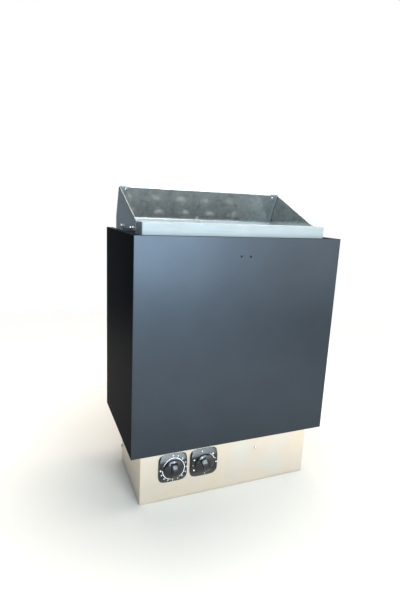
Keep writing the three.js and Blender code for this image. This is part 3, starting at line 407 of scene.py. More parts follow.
def steatite_ceramic():
    """Unglazed cream steatite of the terminal block and limiter: chalky, with a few darker specks."""
    material, tree, shader, place = new_material("steatite_ceramic", {"IOR": 1.58})
    speck = add_node(tree, "ShaderNodeTexNoise", {"Vector": place, "Scale": per_metre(2), "Detail": 6.0})
    tone = add_node(tree, "ShaderNodeMix", {
        "Factor": speck.outputs[0],
        6: linear("#efe9db"),
        7: linear("#d8cfbb"),
    }, data_type="RGBA")
    gloss = add_node(tree, "ShaderNodeMapRange", {"Value": speck.outputs[0], "To Min": 0.5, "To Max": 0.7})
    tree.links.new(tone.outputs[2], shader.inputs["Base Color"])
    tree.links.new(gloss.outputs[0], shader.inputs["Roughness"])
    return material


def grey_polyamide():
    """Moulded grey polyamide of the cable gland and the control cases: even, with a fine spark-eroded grain."""
    material, tree, shader, place = new_material("grey_polyamide", {"IOR": 1.53})
    grain = add_node(tree, "ShaderNodeTexNoise", {"Vector": place, "Scale": per_metre(1.0), "Detail": 3.0})
    tone = add_node(tree, "ShaderNodeMix", {
        "Factor": grain.outputs[0],
        6: linear("#93989c"),
        7: linear("#7d8286"),
    }, data_type="RGBA")
    gloss = add_node(tree, "ShaderNodeMapRange", {"Value": grain.outputs[0], "To Min": 0.42, "To Max": 0.58})
    bump = add_node(tree, "ShaderNodeBump", {
        "Height": grain.outputs[0],
        "Strength": 0.12,
        "Distance": 0.1 * MM,
    })
    tree.links.new(tone.outputs[2], shader.inputs["Base Color"])
    tree.links.new(gloss.outputs[0], shader.inputs["Roughness"])
    tree.links.new(bump.outputs[0], shader.inputs["Normal"])
    return material


def red_abs():
    """Moulded red ABS of the reset button: glossy, with a slight flow mark."""
    material, tree, shader, place = new_material("red_abs", {"IOR": 1.54})
    flow = add_node(tree, "ShaderNodeTexNoise", {"Vector": place, "Scale": per_metre(3), "Detail": 2.0})
    tone = add_node(tree, "ShaderNodeMix", {
        "Factor": flow.outputs[0],
        6: linear("#b32a22"),
        7: linear("#9a1f19"),
    }, data_type="RGBA")
    gloss = add_node(tree, "ShaderNodeMapRange", {"Value": flow.outputs[0], "To Min": 0.22, "To Max": 0.36})
    tree.links.new(tone.outputs[2], shader.inputs["Base Color"])
    tree.links.new(gloss.outputs[0], shader.inputs["Roughness"])
    return material


FINISHES = {
    "painted_jacket": anthracite_powder_coat(),
    "galvanised_sheet": galvanised_steel(),
    "base_steel": bright_stainless(),
    "fastener_steel": zinc_plated_steel(),
    "element_steel": heat_stained_sheath(),
    "brass": turned_brass(),
    "black_plastic": black_abs(),
    "ceramic": steatite_ceramic(),
    "grey_plastic": grey_polyamide(),
    "red_plastic": red_abs(),
}
RAIL_STEEL = rolled_zinc("galvanised_rail_steel", 0.75, "#acb2b2", "#959c9d")
CHAMBER_STEEL = rolled_zinc("heat_dulled_zinc", 0.1, "#bec4c4", "#adb3b4")
KNOB_NYLON = black_nylon()
DIAL_INK = white_pad_print()

# Imported nodes that keep their shape get the finish of their slot, except the chamber's, which get heat-dulled
# zinc.
SLOT_OF = {part["node"]: part["material_slot"] for part in frame["record"]["subparts"]}
for node_name, node in frame["nodes"].items():
    node.data.materials.clear()
    heated = node_name.startswith("chamber_")
    node.data.materials.append(CHAMBER_STEEL if heated else FINISHES[SLOT_OF[node_name]])


def mesh_object(name, bm):
    mesh = bpy.data.meshes.new(name)
    bm.to_mesh(mesh)
    bm.free()
    thing = bpy.data.objects.new(name, mesh)
    scene.collection.objects.link(thing)
    return thing


def settle(thing):
    """Makes the object's modifiers part of its mesh."""
    graph = bpy.context.evaluated_depsgraph_get()
    mesh = bpy.data.meshes.new_from_object(thing.evaluated_get(graph))
    thing.modifiers.clear()
    spare = thing.data
    thing.data = mesh
    bpy.data.meshes.remove(spare)


def carve(thing, cutter_bm, operation="DIFFERENCE"):
    """Cuts the cutter's shapes out of the object, or joins them to it."""
    cutter = mesh_object("cutter", cutter_bm)
    modifier = thing.modifiers.new("carve", "BOOLEAN")
    modifier.operation = operation
    modifier.solver = "EXACT"
    modifier.object = cutter
    settle(thing)
    spare = cutter.data
    bpy.data.objects.remove(cutter)
    bpy.data.meshes.remove(spare)


def thicken(thing, sheet, even=True):
    """Gives a sheet its thickness, away from the side that its faces point to."""
    modifier = thing.modifiers.new("sheet", "SOLIDIFY")
    modifier.thickness = sheet * MM
    modifier.offset = -1
    modifier.use_even_offset = even
    settle(thing)


def finish_piece(thing, material, body, slot, *nodes, sharp=40, flat=True):
    """Smooth shading, finish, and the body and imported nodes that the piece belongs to."""
    mesh = thing.data
    mesh.materials.clear()
    mesh.materials.append(material)
    mesh.shade_smooth()
    mesh.set_sharp_from_angle(angle=math.radians(sharp))
    if flat:
        weighted = thing.modifiers.new("flat_faces", "WEIGHTED_NORMAL")
        weighted.keep_sharp = True
    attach(thing, body)
    if nodes:
        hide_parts(*nodes)
    return thing


def facing(direction):
    """Rotation that turns z to a direction."""
    return direction.to_track_quat("Z", "Y").to_matrix().to_4x4()


def add_box(bm, low, high):
    size = Vector(high) - Vector(low)
    place = Matrix.Translation((Vector(high) + Vector(low)) / 2)
    bmesh.ops.create_cube(bm, size=1, matrix=place @ Matrix.Diagonal((*size, 1)))
    bm.normal_update()


def add_rod(bm, place, direction, radius, length, sides=24):
    """A rod centred on a place."""
    bmesh.ops.create_cone(
        bm, cap_ends=True, segments=sides, radius1=radius, radius2=radius, depth=length,
        matrix=Matrix.Translation(place) @ facing(direction),
    )


def add_spun(bm, profile, place, direction, steps=32):
    """A profile of (radius, height) points in millimetres, spun a full turn about a direction."""
    verts = [bm.verts.new((radius * MM, 0, height * MM)) for radius, height in profile]
    edges = [bm.edges.new(pair) for pair in zip(verts, verts[1:])]
    bmesh.ops.spin(
        bm, geom=verts + edges, cent=(0, 0, 0), axis=UP, angle=math.tau, steps=steps, use_merge=True,
    )
    bmesh.ops.remove_doubles(bm, verts=bm.verts, dist=0.01 * MM)
    bmesh.ops.recalc_face_normals(bm, faces=bm.faces)
    bmesh.ops.transform(bm, matrix=Matrix.Translation(place) @ facing(direction), verts=bm.verts)


def fold(bm, edges, radius):
    bmesh.ops.bevel(
        bm, geom=edges, offset=radius * MM, segments=BEND_STEPS, profile=0.5, affect="EDGES",
        material=-1, clamp_overlap=True,
    )


def folded_case(low, high, bend, flanges):
    """Outside of a sheet folded to a front and two sides, with flanges round its top, bottom and back."""
    bm = bmesh.new()
    add_box(bm, low, high)
    middle = (low + high) / 2
    waste = []
    for direction, flange in ((UP, "top"), (-UP, "bottom"), (BACK, "rear")):
        opening = next(face for face in bm.faces if face.normal.dot(direction) > 0.9)
        rim = bmesh.ops.inset_region(bm, faces=[opening], thickness=flanges[flange] * MM, use_even_offset=True)
        waste.append(opening)
        for strip in rim["faces"]:
            away = strip.calc_center_median() - middle
            behind = away.y > (high.y - low.y) * 0.4 and direction is not BACK
            above_or_below = abs(away.z) > (high.z - low.z) * 0.4 and direction is BACK
            if behind or above_or_below:
                waste.append(strip)
    bmesh.ops.delete(bm, geom=waste, context="FACES")
    folds = [edge for edge in bm.edges if len(edge.link_faces) == 2 and edge.calc_face_angle() > 1]
    fold(bm, [edge for edge in folds if abs(edge.verts[0].co.z - edge.verts[1].co.z) > MM], bend)
    folds = [edge for edge in bm.edges if len(edge.link_faces) == 2 and edge.calc_face_angle() > 1]
    fold(bm, folds, FLANGE_BEND)
    for vert in bm.verts:
        vert.co = [min(max(value, least), most) for value, least, most in zip(vert.co, low, high)]
    return bm


def middle_of(node):
    low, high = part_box(node)
    return (low + high) / 2


def make_jacket():
    low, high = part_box("outer_jacket")
    jacket = mesh_object("jacket", folded_case(low, high, JACKET_BEND, JACKET_FLANGES))
    thicken(jacket, JACKET_SHEET)
    drill = bmesh.new()
    badge_spacing, badge_drop, badge_radius = 18.2 * MM, 33.3 * MM, 1.8 * MM
    for side in SIDES.values():
        spot = Vector((side * badge_spacing / 2, low.y, high.z - badge_drop))
        add_rod(drill, spot, BACK, badge_radius, 10 * MM)
    for name in SIDES:
        for height in ("lower", "upper"):
            spot = middle_of(f"jacket_screw_{name}_{height}")
            spot.y = high.y
            add_rod(drill, spot, BACK, 3.7 * MM, 10 * MM)
    carve(jacket, drill)
    finish_piece(jacket, FINISHES["painted_jacket"], "stove", "painted_jacket", "outer_jacket")


def make_base():
    low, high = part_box("base_housing")
    base = mesh_object("base", folded_case(low, high, BASE_BEND, BASE_FLANGES))
    thicken(base, BASE_SHEET)
    drill = bmesh.new()
    for control in ("timer", "thermostat"):
        spot = middle_of(f"{control}_shaft")
        spot.y = low.y
        add_rod(drill, spot, BACK, 5 * MM, 10 * MM)
    rivet = middle_of("base_front_rivet")
    rivet.y = low.y
    add_rod(drill, rivet, BACK, 1.9 * MM, 10 * MM)
    button = middle_of("reset_button")
    button.x = high.x
    add_rod(drill, button, RIGHT, 4.3 * MM, 10 * MM)
    for name, side in SIDES.items():
        spot = middle_of(f"base_side_screw_{name}")
        spot.x = side * high.x
        add_rod(drill, spot, RIGHT, 1.9 * MM, 10 * MM)
    carve(base, drill)
    finish_piece(base, FINISHES["base_steel"], "stove", "base_steel", "base_housing")


def make_rail():
    bm = bmesh.new()
    add_box(bm, *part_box("front_rail"))
    under = [face for face in bm.faces if face.normal.z < -0.9]
    bmesh.ops.delete(bm, geom=under, context="FACES")
    fold(bm, [edge for edge in bm.edges if len(edge.link_faces) == 2], RAIL_BEND)
    rail = mesh_object("rail", bm)
    thicken(rail, THIN_SHEET)
    finish_piece(rail, RAIL_STEEL, "stove", "galvanised_sheet", "front_rail")


def slope_point(x, along, behind):
    """A point on the hood's back: so far up from its fold, and so far behind its front face."""
    y = HOOD_FOLD_Y - along * math.sin(HOOD_LEAN) + behind * math.cos(HOOD_LEAN)
    z = HOOD_FOLD_Z + along * math.cos(HOOD_LEAN) + behind * math.sin(HOOD_LEAN)
    return Vector((x, y, z)) * MM


def add_hem(bm, edge, turn_centre, axis, onward):
    """Folds an edge of a sheet over by half a turn, and goes on flat from there."""
    verts = list(edge.verts)
    folded = bmesh.ops.spin(
        bm, geom=verts + [edge], cent=turn_centre, axis=axis, angle=math.pi, steps=BEND_STEPS, use_merge=False,
    )
    last = [item for item in folded["geom_last"] if isinstance(item, bmesh.types.BMEdge)]
    flat = bmesh.ops.extrude_edge_only(bm, edges=last)
    moved = [item for item in flat["geom"] if isinstance(item, bmesh.types.BMVert)]
    bmesh.ops.translate(bm, verts=moved, vec=onward)


def make_hood_back():
    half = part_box("hood_back_panel")[1].x / MM
    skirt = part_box("hood_back_panel")[0].z / MM
    hem_half = half - HOOD_FLANGE - 0.8
    bm = bmesh.new()
    columns = (-half, -hem_half, hem_half, half)
    row = [bm.verts.new(Vector((x, HOOD_FOLD_Y, skirt)) * MM) for x in columns]
    edges = [bm.edges.new(pair) for pair in zip(row, row[1:])]
    rise = Vector((0, 0, HOOD_FOLD_Z - skirt)) * MM
    crest = HOOD_SLOPE - 2 * HEM_RADIUS
    climb = slope_point(0, crest, 0) - slope_point(0, 0, 0)
    folds = []
    for step in (rise, climb):
        grown = bmesh.ops.extrude_edge_only(bm, edges=edges)["geom"]
        verts = [item for item in grown if isinstance(item, bmesh.types.BMVert)]
        bmesh.ops.translate(bm, verts=verts, vec=step)
        edges = [item for item in grown if isinstance(item, bmesh.types.BMEdge)]
        edges = [edge for edge in edges if all(vert in verts for vert in edge.verts)]
        if step is rise:
            folds = edges[:]
    top = next(edge for edge in edges if abs(edge.verts[0].co.x + edge.verts[1].co.x) < MM)
    turn_centre = slope_point(0, crest, HEM_RADIUS)
    down = climb.normalized() * -TOP_HEM * MM
    add_hem(bm, top, turn_centre, -RIGHT, down)
    corners = [edge for edge in bm.edges if len(edge.link_faces) == 1]
    corners = [edge for edge in corners if all(abs(vert.co.x) > (half - 1) * MM for vert in edge.verts)]
    corners = [edge for edge in corners if min(vert.co.z for vert in edge.verts) > (HOOD_FOLD_Z - 1) * MM]
    lips = bmesh.ops.extrude_edge_only(bm, edges=corners)["geom"]
    moved = [item for item in lips if isinstance(item, bmesh.types.BMVert)]
    forward = slope_point(0, 0, -BACK_LIP) - slope_point(0, 0, 0)
    bmesh.ops.translate(bm, verts=moved, vec=forward)
    fold(bm, corners, 2.4)
    fold(bm, [edge for edge in folds if edge.is_valid], 2)
    bmesh.ops.recalc_face_normals(bm, faces=bm.faces)
    front = next(face for face in bm.faces if abs(face.normal.z) < 0.01)
    if front.normal.y > 0:
        bmesh.ops.reverse_faces(bm, faces=bm.faces)
    panel = mesh_object("hood_back", bm)
    thicken(panel, HEM_SHEET)
    finish_piece(panel, FINISHES["galvanised_sheet"], "stove", "galvanised_sheet", "hood_back_panel")
    # Its side lips take the paler, duller rail finish as a painted highlight, so that the seams show as bright
    # lines.
    panel.data.materials.append(RAIL_STEEL)
    for face in panel.data.polygons:
        if abs(face.normal.x) > 0.3 and face.center.z > HOOD_FOLD_Z * MM:
            face.material_index = 1


def make_hood_side(name, side):
    low, high = (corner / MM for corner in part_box("hood_right_panel"))
    nose = Vector((high.x, low.y, HOOD_NOSE))
    top = slope_point(high.x, HOOD_SLOPE, 0) / MM
    along = (top - nose).normalized()
    inward = Vector((0, along.z, -along.y))
    hem_ends = [nose + along * 10 + inward * HEM_RADIUS, top - along * 2 + inward * HEM_RADIUS]
    flange_ends = [slope_point(high.x, HOOD_SLOPE, HOOD_FLANGE_BACK) / MM]
    flange_ends.append(slope_point(high.x, HOOD_FLANGE_START, HOOD_FLANGE_BACK) / MM)
    heel = Vector((high.x, high.y, HOOD_FOLD_Z))
    outline = [Vector((high.x, low.y, low.z)), nose, *hem_ends, top, *flange_ends]
    outline += [heel, Vector((high.x, high.y, low.z))]
    bm = bmesh.new()
    verts = [bm.verts.new(point * MM) for point in outline]
    bm.faces.new(verts)
    hem_edge = bm.edges.get((verts[2], verts[3]))
    flange_edge = bm.edges.get((verts[5], verts[6]))
    turned = bmesh.ops.extrude_edge_only(bm, edges=[flange_edge])["geom"]
    moved = [item for item in turned if isinstance(item, bmesh.types.BMVert)]
    bmesh.ops.translate(bm, verts=moved, vec=-RIGHT * HOOD_FLANGE * MM)
    fold(bm, [flange_edge], 1)
    turn_centre = (hem_ends[0] - RIGHT * HEM_RADIUS) * MM
    add_hem(bm, hem_edge, turn_centre, -along, inward * SIDE_HEM * MM)
    bmesh.ops.recalc_face_normals(bm, faces=bm.faces)
    bm.normal_update()
    plate = max(bm.faces, key=lambda face: face.calc_area())
    if plate.normal.x < 0:
        bmesh.ops.reverse_faces(bm, faces=bm.faces)
    if side < 0:
        bmesh.ops.scale(bm, vec=(-1, 1, 1), verts=bm.verts)
        bmesh.ops.reverse_faces(bm, faces=bm.faces)
    panel = mesh_object(f"hood_{name}", bm)
    thicken(panel, HEM_SHEET)
    finish_piece(panel, FINISHES["galvanised_sheet"], "stove", "galvanised_sheet", f"hood_{name}_panel")


def make_element(name):
    """One tubular element: legs side by side, joined by half turns above and below."""
    node = f"heating_element_{name}"
    low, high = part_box(node)
    depth = (low.y + high.y) / 2
    radius = ELEMENT_TUBE * MM
    pitch = ELEMENT_PITCH * MM
    bend = pitch / 2
    left = low.x + radius
    levels = {"top": high.z - radius - bend, "bottom": ELEMENT_BOTTOM * MM + bend}
    tail = low.z + ELEMENT_PIN * MM
    bm = bmesh.new()
    start = Matrix.Translation((left, depth, tail))
    ring = bmesh.ops.create_circle(bm, cap_ends=False, segments=16, radius=radius, matrix=start)["verts"]
    edges = list({edge for vert in ring for edge in vert.link_edges})
    first_ring = edges[:]
    level = tail
    for leg in range(ELEMENT_LEGS):
        goal = levels["top"] if leg % 2 == 0 else levels["bottom"]
        if leg == ELEMENT_LEGS - 1:
            goal = tail
        grown = bmesh.ops.extrude_edge_only(bm, edges=edges)["geom"]
        verts = [item for item in grown if isinstance(item, bmesh.types.BMVert)]
        bmesh.ops.translate(bm, verts=verts, vec=UP * (goal - level))
        edges = [edge for edge in {e for v in verts for e in v.link_edges} if all(v in verts for v in edge.verts)]
        level = goal
        if leg == ELEMENT_LEGS - 1:
            break
        centre = Vector((left + (leg + 0.5) * pitch, depth, level))
        half_turn = math.pi if leg % 2 == 0 else -math.pi
        bent = bmesh.ops.spin(
            bm, geom=verts + edges, cent=centre, axis=BACK, angle=half_turn, steps=14, use_merge=False,
        )
        edges = [item for item in bent["geom_last"] if isinstance(item, bmesh.types.BMEdge)]
    for end in (first_ring, edges):
        cap = bmesh.ops.contextual_create(bm, geom=end)["faces"]
        bmesh.ops.inset_region(bm, faces=cap, thickness=radius / 2, use_even_offset=True)
        pin = bmesh.ops.extrude_discrete_faces(bm, faces=cap)["faces"]
        verts = list({vert for face in pin for vert in face.verts})
        bmesh.ops.translate(bm, verts=verts, vec=-UP * ELEMENT_PIN * MM)
    bmesh.ops.remove_doubles(bm, verts=bm.verts, dist=0.01 * MM)
    bmesh.ops.recalc_face_normals(bm, faces=bm.faces)
    finish_piece(mesh_object(f"element_{name}", bm), FINISHES["element_steel"], "stove", "element_steel", node)


def head_place(node, direction, height):
    """Where the underside of a fastener's head lies, for a head that looks along an axis."""
    low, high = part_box(node)
    reach = (high - low).dot(Vector(map(abs, direction))) / 2
    return (low + high) / 2 + direction * (reach - height * MM)


def make_rivet(node, profile, place, direction):
    """Blind rivet: a domed head with the hollow that its drawn pin leaves, or the tail that the pin has formed."""
    bm = bmesh.new()
    add_spun(bm, profile, place, direction, steps=24)
    finish_piece(mesh_object(f"{node}_head", bm), FINISHES["fastener_steel"], "stove", "fastener_steel", node)


def make_screw(node, profile, height, direction):
    """Screw with a cross recess."""
    place = head_place(node, direction, height)
    bm = bmesh.new()
    add_spun(bm, profile, place, direction, steps=24)
    screw = mesh_object(f"{node}_cross", bm)
    turn = Matrix.Translation(place + direction * height * MM) @ facing(direction)
    for size in ((4, 0.8, 2), (0.8, 4, 1.8)):
        slot = bmesh.new()
        bmesh.ops.create_cube(slot, size=MM, matrix=turn @ Matrix.Diagonal((*size, 1)))
        carve(screw, slot)
    finish_piece(screw, FINISHES["fastener_steel"], "stove", "fastener_steel", node)


def make_plate(control):
    """Dial plate: a moulding that is flat behind the knob and slopes away above and below it."""
    low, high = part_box(f"{control}_plate")
    bm = bmesh.new()
    bmesh.ops.create_grid(bm, x_segments=36, y_segments=36, size=1)
    for vert in bm.verts:
        across, along = abs(vert.co.x), abs(vert.co.y)
        ring = max(across, along)
        norm = (across ** PLATE_SQUARENESS + along ** PLATE_SQUARENESS) ** (1 / PLATE_SQUARENESS)
        vert.co *= ring / norm if norm else 0
        sloped = max(abs(vert.co.y) - PLATE_FLAT, 0) / (1 - PLATE_FLAT)
        vert.co.z = PLATE_RISE * (1 - sloped ** PLATE_CROWN) * (1 - ring ** PLATE_EDGE)
    rim = [edge for edge in bm.edges if len(edge.link_faces) == 1]
    wall = bmesh.ops.extrude_edge_only(bm, edges=rim)["geom"]
    foot = [item for item in wall if isinstance(item, bmesh.types.BMVert)]
    bmesh.ops.translate(bm, verts=foot, vec=-UP * PLATE_RIM)
    bmesh.ops.contextual_create(bm, geom=[edge for edge in bm.edges if len(edge.link_faces) == 1])
    bmesh.ops.recalc_face_normals(bm, faces=bm.faces)
    half = (high - low) / 2
    size = Matrix.Diagonal((half.x, half.z, MM, 1))
    place = Vector((low.x + half.x, high.y - PLATE_RIM * MM, low.z + half.z))
    upright = Matrix.Rotation(math.pi / 2, 4, "X")
    bmesh.ops.transform(bm, matrix=Matrix.Translation(place) @ upright @ size, verts=bm.verts)
    plate = mesh_object(f"{control}_dial", bm)
    hole = bmesh.new()
    add_rod(hole, middle_of(f"{control}_plate"), BACK, 5 * MM, 20 * MM)
    carve(plate, hole)
    finish_piece(plate, FINISHES["black_plastic"], "stove", "black_plastic", f"{control}_plate", flat=False)
    return plate


def add_arc(bm, centre, inner, outer, start, end, growth=0):
    """Flat ring segment round a dial, between two clock angles in degrees, whose outer radius may grow."""
    steps = max(2, round((end - start) / 4))
    rungs = []
    for step in range(steps + 1):
        share = step / steps
        turn = Matrix.Rotation(math.radians(start + (end - start) * share), 3, "Y")
        radii = (inner, outer + growth * share)
        rungs.append([bm.verts.new(centre + turn @ (UP * radius * MM)) for radius in radii])
    for low, high in zip(rungs, rungs[1:]):
        bm.faces.new((*low, *reversed(high)))


def add_tick(bm, centre, inner, outer, angle, width):
    half = math.degrees(width / (inner + outer))
    add_arc(bm, centre, inner, outer, angle - half, angle + half)


def add_dot(bm, centre, reach, angle, radius):
    spot = centre + Matrix.Rotation(math.radians(angle), 3, "Y") @ (UP * reach * MM)
    matrix = Matrix.Translation(spot) @ facing(-BACK)
    bmesh.ops.create_circle(bm, cap_ends=True, segments=12, radius=radius * MM, matrix=matrix)


def add_numeral(bm, text, centre, reach, angle, size):
    """An upright numeral at a clock angle."""
    curve = bpy.data.curves.new("numeral", "FONT")
    curve.body = text
    curve.size = size * MM
    curve.offset = 0.12 * MM
    curve.align_x, curve.align_y = "CENTER", "CENTER"
    thing = bpy.data.objects.new("numeral", curve)
    scene.collection.objects.link(thing)
    graph = bpy.context.evaluated_depsgraph_get()
    mesh = bpy.data.meshes.new_from_object(thing.evaluated_get(graph))
    bpy.data.objects.remove(thing)
    bpy.data.curves.remove(curve)
    spot = centre + Matrix.Rotation(math.radians(angle), 3, "Y") @ (UP * reach * MM)
    mesh.transform(Matrix.Translation(spot) @ Matrix.Rotation(math.pi / 2, 4, "X"))
    bm.from_mesh(mesh)
    bpy.data.meshes.remove(mesh)


def lay_print(name, bm, ground, body, slot):
    """Lays flat ink shapes on a moulded face, seen from the front."""
    bmesh.ops.remove_doubles(bm, verts=bm.verts, dist=0.01 * MM)
    bmesh.ops.triangulate(bm, faces=bm.faces)
    slivers = [face for face in bm.faces if face.calc_area() < 0.0001 * MM * MM]
    bmesh.ops.delete(bm, geom=slivers, context="FACES")
    # Short edges let the ink follow the curve below it.
    for _ in range(3):
        long_edges = [edge for edge in bm.edges if edge.calc_length() > 0.7 * MM]
        bmesh.ops.subdivide_edges(bm, edges=long_edges, cuts=1)
        bmesh.ops.triangulate(bm, faces=bm.faces)
    bmesh.ops.recalc_face_normals(bm, faces=bm.faces)
    bm.normal_update()
    bmesh.ops.reverse_faces(bm, faces=[face for face in bm.faces if face.normal.y > 0])
    ink = mesh_object(name, bm)
    wrap = ink.modifiers.new("lay", "SHRINKWRAP")
    wrap.target = ground
    wrap.wrap_method = "PROJECT"
    wrap.use_project_y = True
    wrap.use_negative_direction = False
    wrap.use_positive_direction = True
    wrap.offset = INK_THICKNESS * MM
    settle(ink)
    thicken(ink, INK_THICKNESS, even=False)
    finish_piece(ink, DIAL_INK, body, slot)


def make_timer_print(plate):
    centre = middle_of("timer_shaft")
    centre.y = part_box("timer_knob")[0].y
    bm = bmesh.new()
    add_arc(bm, centre, 21.0, 21.9, -65, 148)
    add_arc(bm, centre, 21.0, 21.9, 175, 267)
    for hour, text in enumerate(TIMER_NUMERALS):
        angle = hour * 22.5
        add_tick(bm, centre, 21.95, 23.0, angle, 1.0)
        add_numeral(bm, text, centre, 25.4, angle, 4.6)
    lay_print("timer_scale", bm, plate, "stove", "black_plastic")


def make_thermostat_print(plate):
    centre = middle_of("thermostat_shaft")
    centre.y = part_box("thermostat_knob")[0].y
    bm = bmesh.new()
    add_arc(bm, centre, 20.8, 21.2, 30, 72, growth=0.7)
    for angle, outer, width in THERMOSTAT_TICKS:
        add_tick(bm, centre, 22.6, outer, angle, width)
    for angle, reach in THERMOSTAT_DOTS:
        add_dot(bm, centre, reach, angle, 1.4)
    lay_print("thermostat_scale", bm, plate, "stove", "black_plastic")


def make_knob(control, rest):
    """Knob with a chamfered skirt and a bar grip, and its white pointer."""
    low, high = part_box(f"{control}_knob")
    centre = middle_of(f"{control}_shaft")
    centre.y = high.y
    bm = bmesh.new()
    add_spun(bm, SKIRT_PROFILE, centre, -BACK, steps=48)
    knob = mesh_object(f"{control}_grip", bm)
    height = (high.y - low.y) / MM
    bar = bmesh.new()
    reach = Vector((GRIP_WIDTH, 0, GRIP_LENGTH)) * MM / 2
    add_box(bar, centre - reach - BACK * height * MM, centre + reach - BACK * 2 * MM)
    tip = next(face for face in bar.faces if face.normal.y < -0.9)
    bmesh.ops.scale(bar, vec=(GRIP_TAPER, 1, 1), space=Matrix.Translation(-centre), verts=tip.verts)
    grip = mesh_object("grip", bar)
    arch = bmesh.new()
    add_rod(arch, centre + BACK * (GRIP_ARCH - height) * MM, RIGHT, GRIP_ARCH * MM, 20 * MM, sides=96)
    carve(grip, arch, "INTERSECT")
    ease = grip.modifiers.new("ease", "BEVEL")
    ease.width = 1.3 * MM
    ease.segments = 3
    ease.limit_method = "ANGLE"
    ease.angle_limit = math.radians(40)
    settle(grip)
    bar = bmesh.new()
    bar.from_mesh(grip.data)
    bpy.data.objects.remove(grip)
    carve(knob, bar, "UNION")
    bore = bmesh.new()
    add_rod(bore, centre, BACK, 3.3 * MM, 18.6 * MM)
    carve(knob, bore)
    body = f"{control}_control"
    spin = Matrix.Translation(centre) @ Matrix.Rotation(math.radians(rest), 4, "Y") @ Matrix.Translation(-centre)
    mark = bmesh.new()
    front = centre - BACK * height * MM
    add_tick(mark, front, 15.4, 17.0, 0, 1.6)
    bmesh.ops.transform(mark, matrix=spin, verts=mark.verts)
    knob.data.transform(spin)
    finish_piece(knob, KNOB_NYLON, body, "black_plastic", f"{control}_knob", flat=False)
    lay_print(f"{control}_pointer", mark, knob, body, "black_plastic")


def make_cable_gland():
    """Cable inlet: a hexagon against the panel and a ribbed dome nut round the cord's hole."""
    low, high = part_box("cable_gland")
    place = middle_of("cable_gland")
    place.y = high.y - GLAND_REACH * MM
    bm = bmesh.new()
    add_spun(bm, GLAND_PROFILE, place, BACK, steps=48)
    gland = mesh_object("cable_inlet", bm)
    nut = bmesh.new()
    add_rod(nut, place + BACK * 3 * MM, BACK, 14 * MM, 6 * MM, sides=6)
    for rib in range(18):
        turn = Matrix.Translation(place) @ Matrix.Rotation(rib * math.tau / 18, 4, "Y")
        size = Matrix.Diagonal((1.4 * MM, 7 * MM, 1.2 * MM, 1))
        bmesh.ops.create_cube(nut, size=1, matrix=turn @ Matrix.Translation((0, 11 * MM, 10.8 * MM)) @ size)
    hole = bmesh.new()
    add_rod(hole, place, BACK, 6 * MM, 60 * MM)
    carve(gland, nut, "UNION")
    carve(gland, hole)
    finish_piece(gland, FINISHES["grey_plastic"], "stove", "grey_plastic", "cable_gland")


make_jacket()
make_base()
make_rail()
make_hood_back()
for side_name, side_sign in SIDES.items():
    make_hood_side(side_name, side_sign)
    outward = RIGHT * side_sign
    for end_name in ("front", "rear"):
        rivet = f"hood_rivet_{side_name}_{end_name}"
        make_rivet(rivet, TAIL_PROFILE, head_place(rivet, outward, TAIL_HEIGHT), outward)
        make_screw(f"cover_screw_{side_name}_{end_name}", SUNK_PROFILE, 0, -UP)
    corner_x = side_sign * (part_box("hood_right_panel")[1].x / MM - CORNER_RIVET_INSET)
    corner = slope_point(corner_x, HOOD_SLOPE - CORNER_RIVET_DROP, -0.2)
    forward = slope_point(0, 0, -1) / MM - slope_point(0, 0, 0) / MM
    make_rivet(f"hood_corner_rivet_{side_name}", RIVET_PROFILE, corner, forward)
    make_screw(f"base_side_screw_{side_name}", PAN_PROFILE, PAN_HEIGHT, outward)
    for height_name in ("lower", "upper"):
        make_screw(f"jacket_screw_{side_name}_{height_name}", SUNK_PROFILE, 0, BACK)
make_rivet("base_front_rivet", RIVET_PROFILE, head_place("base_front_rivet", -BACK, RIVET_HEIGHT), -BACK)
for row_name in ("front", "middle", "rear"):
    make_element(row_name)
make_timer_print(make_plate("timer"))
make_thermostat_print(make_plate("thermostat"))
make_knob("timer", 0)
make_knob("thermostat", THERMOSTAT_REST)
make_cable_gland()

# Camera at the photograph's place
camera = bpy.data.objects.new("camera", bpy.data.cameras.new("camera"))
scene.collection.objects.link(camera)
turn = Matrix.Rotation(math.radians(CAMERA_TURN), 4, "Z")
tilt = Matrix.Rotation(math.radians(CAMERA_TILT), 4, "X")
roll = Matrix.Rotation(math.radians(CAMERA_ROLL), 4, "Z")
camera.matrix_world = Matrix.Translation(CAMERA_PLACE) @ turn @ tilt @ roll
camera.data.sensor_fit = "HORIZONTAL"
camera.data.sensor_width = SENSOR_WIDTH
camera.data.lens = FOCAL_PIXELS / PHOTO_WIDTH * SENSOR_WIDTH
scene.camera = camera


def studio_world():
    """A plain studio: white paper behind the object as the camera sees it, dim grey walls elsewhere."""
    world = bpy.data.worlds.new("studio")
    world.use_nodes = True
    tree = world.node_tree
    direction = add_node(tree, "ShaderNodeTexCoord").outputs["Generated"]
    parts = add_node(tree, "ShaderNodeSeparateXYZ", {"Vector": direction})
    bearing = add_node(tree, "ShaderNodeMath", {0: parts.outputs["X"], 1: parts.outputs["Y"]}, operation="ARCTAN2")
    left_edge = add_node(tree, "ShaderNodeMapRange", {
        "Value": bearing.outputs[0],
        "From Min": math.radians(-9),
        "From Max": math.radians(-3.5),
    }, interpolation_type="SMOOTHSTEP")
    right_edge = add_node(tree, "ShaderNodeMapRange", {
        "Value": bearing.outputs[0],
        "From Min": math.radians(75),
        "From Max": math.radians(120),
        "To Min": 1.0,
        "To Max": 0.0,
    }, interpolation_type="SMOOTHSTEP")
    paper = add_node(tree, "ShaderNodeMath", {
        0: left_edge.outputs[0],
        1: right_edge.outputs[0],
    }, operation="MULTIPLY")
    colour = add_node(tree, "ShaderNodeMix", {
        "Factor": paper.outputs[0],
        6: (0.12, 0.155, 0.18, 1),
        7: (1.0, 1.0, 1.0, 1),
    }, data_type="RGBA")
    tree.links.new(colour.outputs[2], tree.nodes["Background"].inputs["Color"])
    scene.world = world


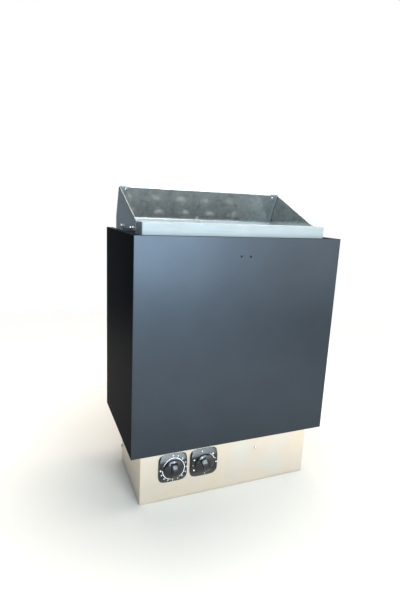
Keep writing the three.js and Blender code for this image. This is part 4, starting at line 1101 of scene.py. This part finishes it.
def soft_lamp(name, size, radiance, colour, place, aim):
    """A softbox whose face has the given radiance."""
    data = bpy.data.lights.new(name, "AREA")
    data.shape = "RECTANGLE"
    data.size, data.size_y = size
    data.energy = radiance * math.pi * size[0] * size[1]
    data.color = linear(colour)[:3]
    lamp = bpy.data.objects.new(name, data)
    direction = Vector(aim) - Vector(place)
    lamp.matrix_world = Matrix.Translation(place) @ direction.to_track_quat("-Z", "Y").to_matrix().to_4x4()
    lamp.visible_camera = False
    scene.collection.objects.link(lamp)


def pale_floor():
    """A pale matt floor round the object, whose rim fades into the studio."""
    bm = bmesh.new()
    bmesh.ops.create_circle(bm, cap_ends=True, segments=96, radius=1.7)
    floor = mesh_object("floor", bm)
    material, tree, shader, place = new_material("pale_floor_paint", {
        "Base Color": linear("#d6d2cb"),
        "Roughness": 0.85,
        "Specular IOR Level": 0.2,
    })
    reach = add_node(tree, "ShaderNodeVectorMath", {0: place}, operation="LENGTH")
    fade = add_node(tree, "ShaderNodeMapRange", {
        "Value": reach.outputs["Value"],
        "From Min": 0.8,
        "From Max": 1.65,
        "To Min": 1.0,
        "To Max": 0.0,
    }, interpolation_type="SMOOTHSTEP")
    tree.links.new(fade.outputs[0], shader.inputs["Alpha"])
    # Seen by the camera or in a gloss, the paper glows a little, which whitens it and keeps the shadow.
    path = add_node(tree, "ShaderNodeLightPath")
    seen = path.outputs["Is Camera Ray"]
    for kind in ("Is Glossy Ray", "Is Transmission Ray"):
        seen = add_node(tree, "ShaderNodeMath", {0: seen, 1: path.outputs[kind]}, operation="MAXIMUM").outputs[0]
    far = add_node(tree, "ShaderNodeMapRange", {
        "Value": reach.outputs["Value"],
        "From Min": 0.25,
        "From Max": 0.65,
        "To Max": 0.3,
    }, interpolation_type="SMOOTHSTEP")
    glow = add_node(tree, "ShaderNodeMath", {0: seen, 1: far.outputs[0]}, operation="MULTIPLY")
    tree.links.new(glow.outputs[0], shader.inputs["Emission Strength"])
    shader.inputs["Emission Color"].default_value = (1, 1, 1, 1)
    floor.data.materials.append(material)


studio_world()
soft_lamp("window", (1.3, 1.4), 11.3, "#e2f3ff", (0.05, -1.9, 0.785), (0, 0, 0.45))
soft_lamp("white_wall", (2.0, 1.2), 2.9, "#f8f7f2", (1.5, -1.55, 0.6), (0, 0, 0.4))
soft_lamp("left_fill", (0.9, 0.9), 1.0, "#eef6ff", (-1.5, -0.75, 1.35), (0, 0, 0.5))
soft_lamp("ceiling", (1.8, 1.3), 6.0, "#fff8ef", (0.2, 0.25, 2.0), (0, 0, 0.2))
pale_floor()
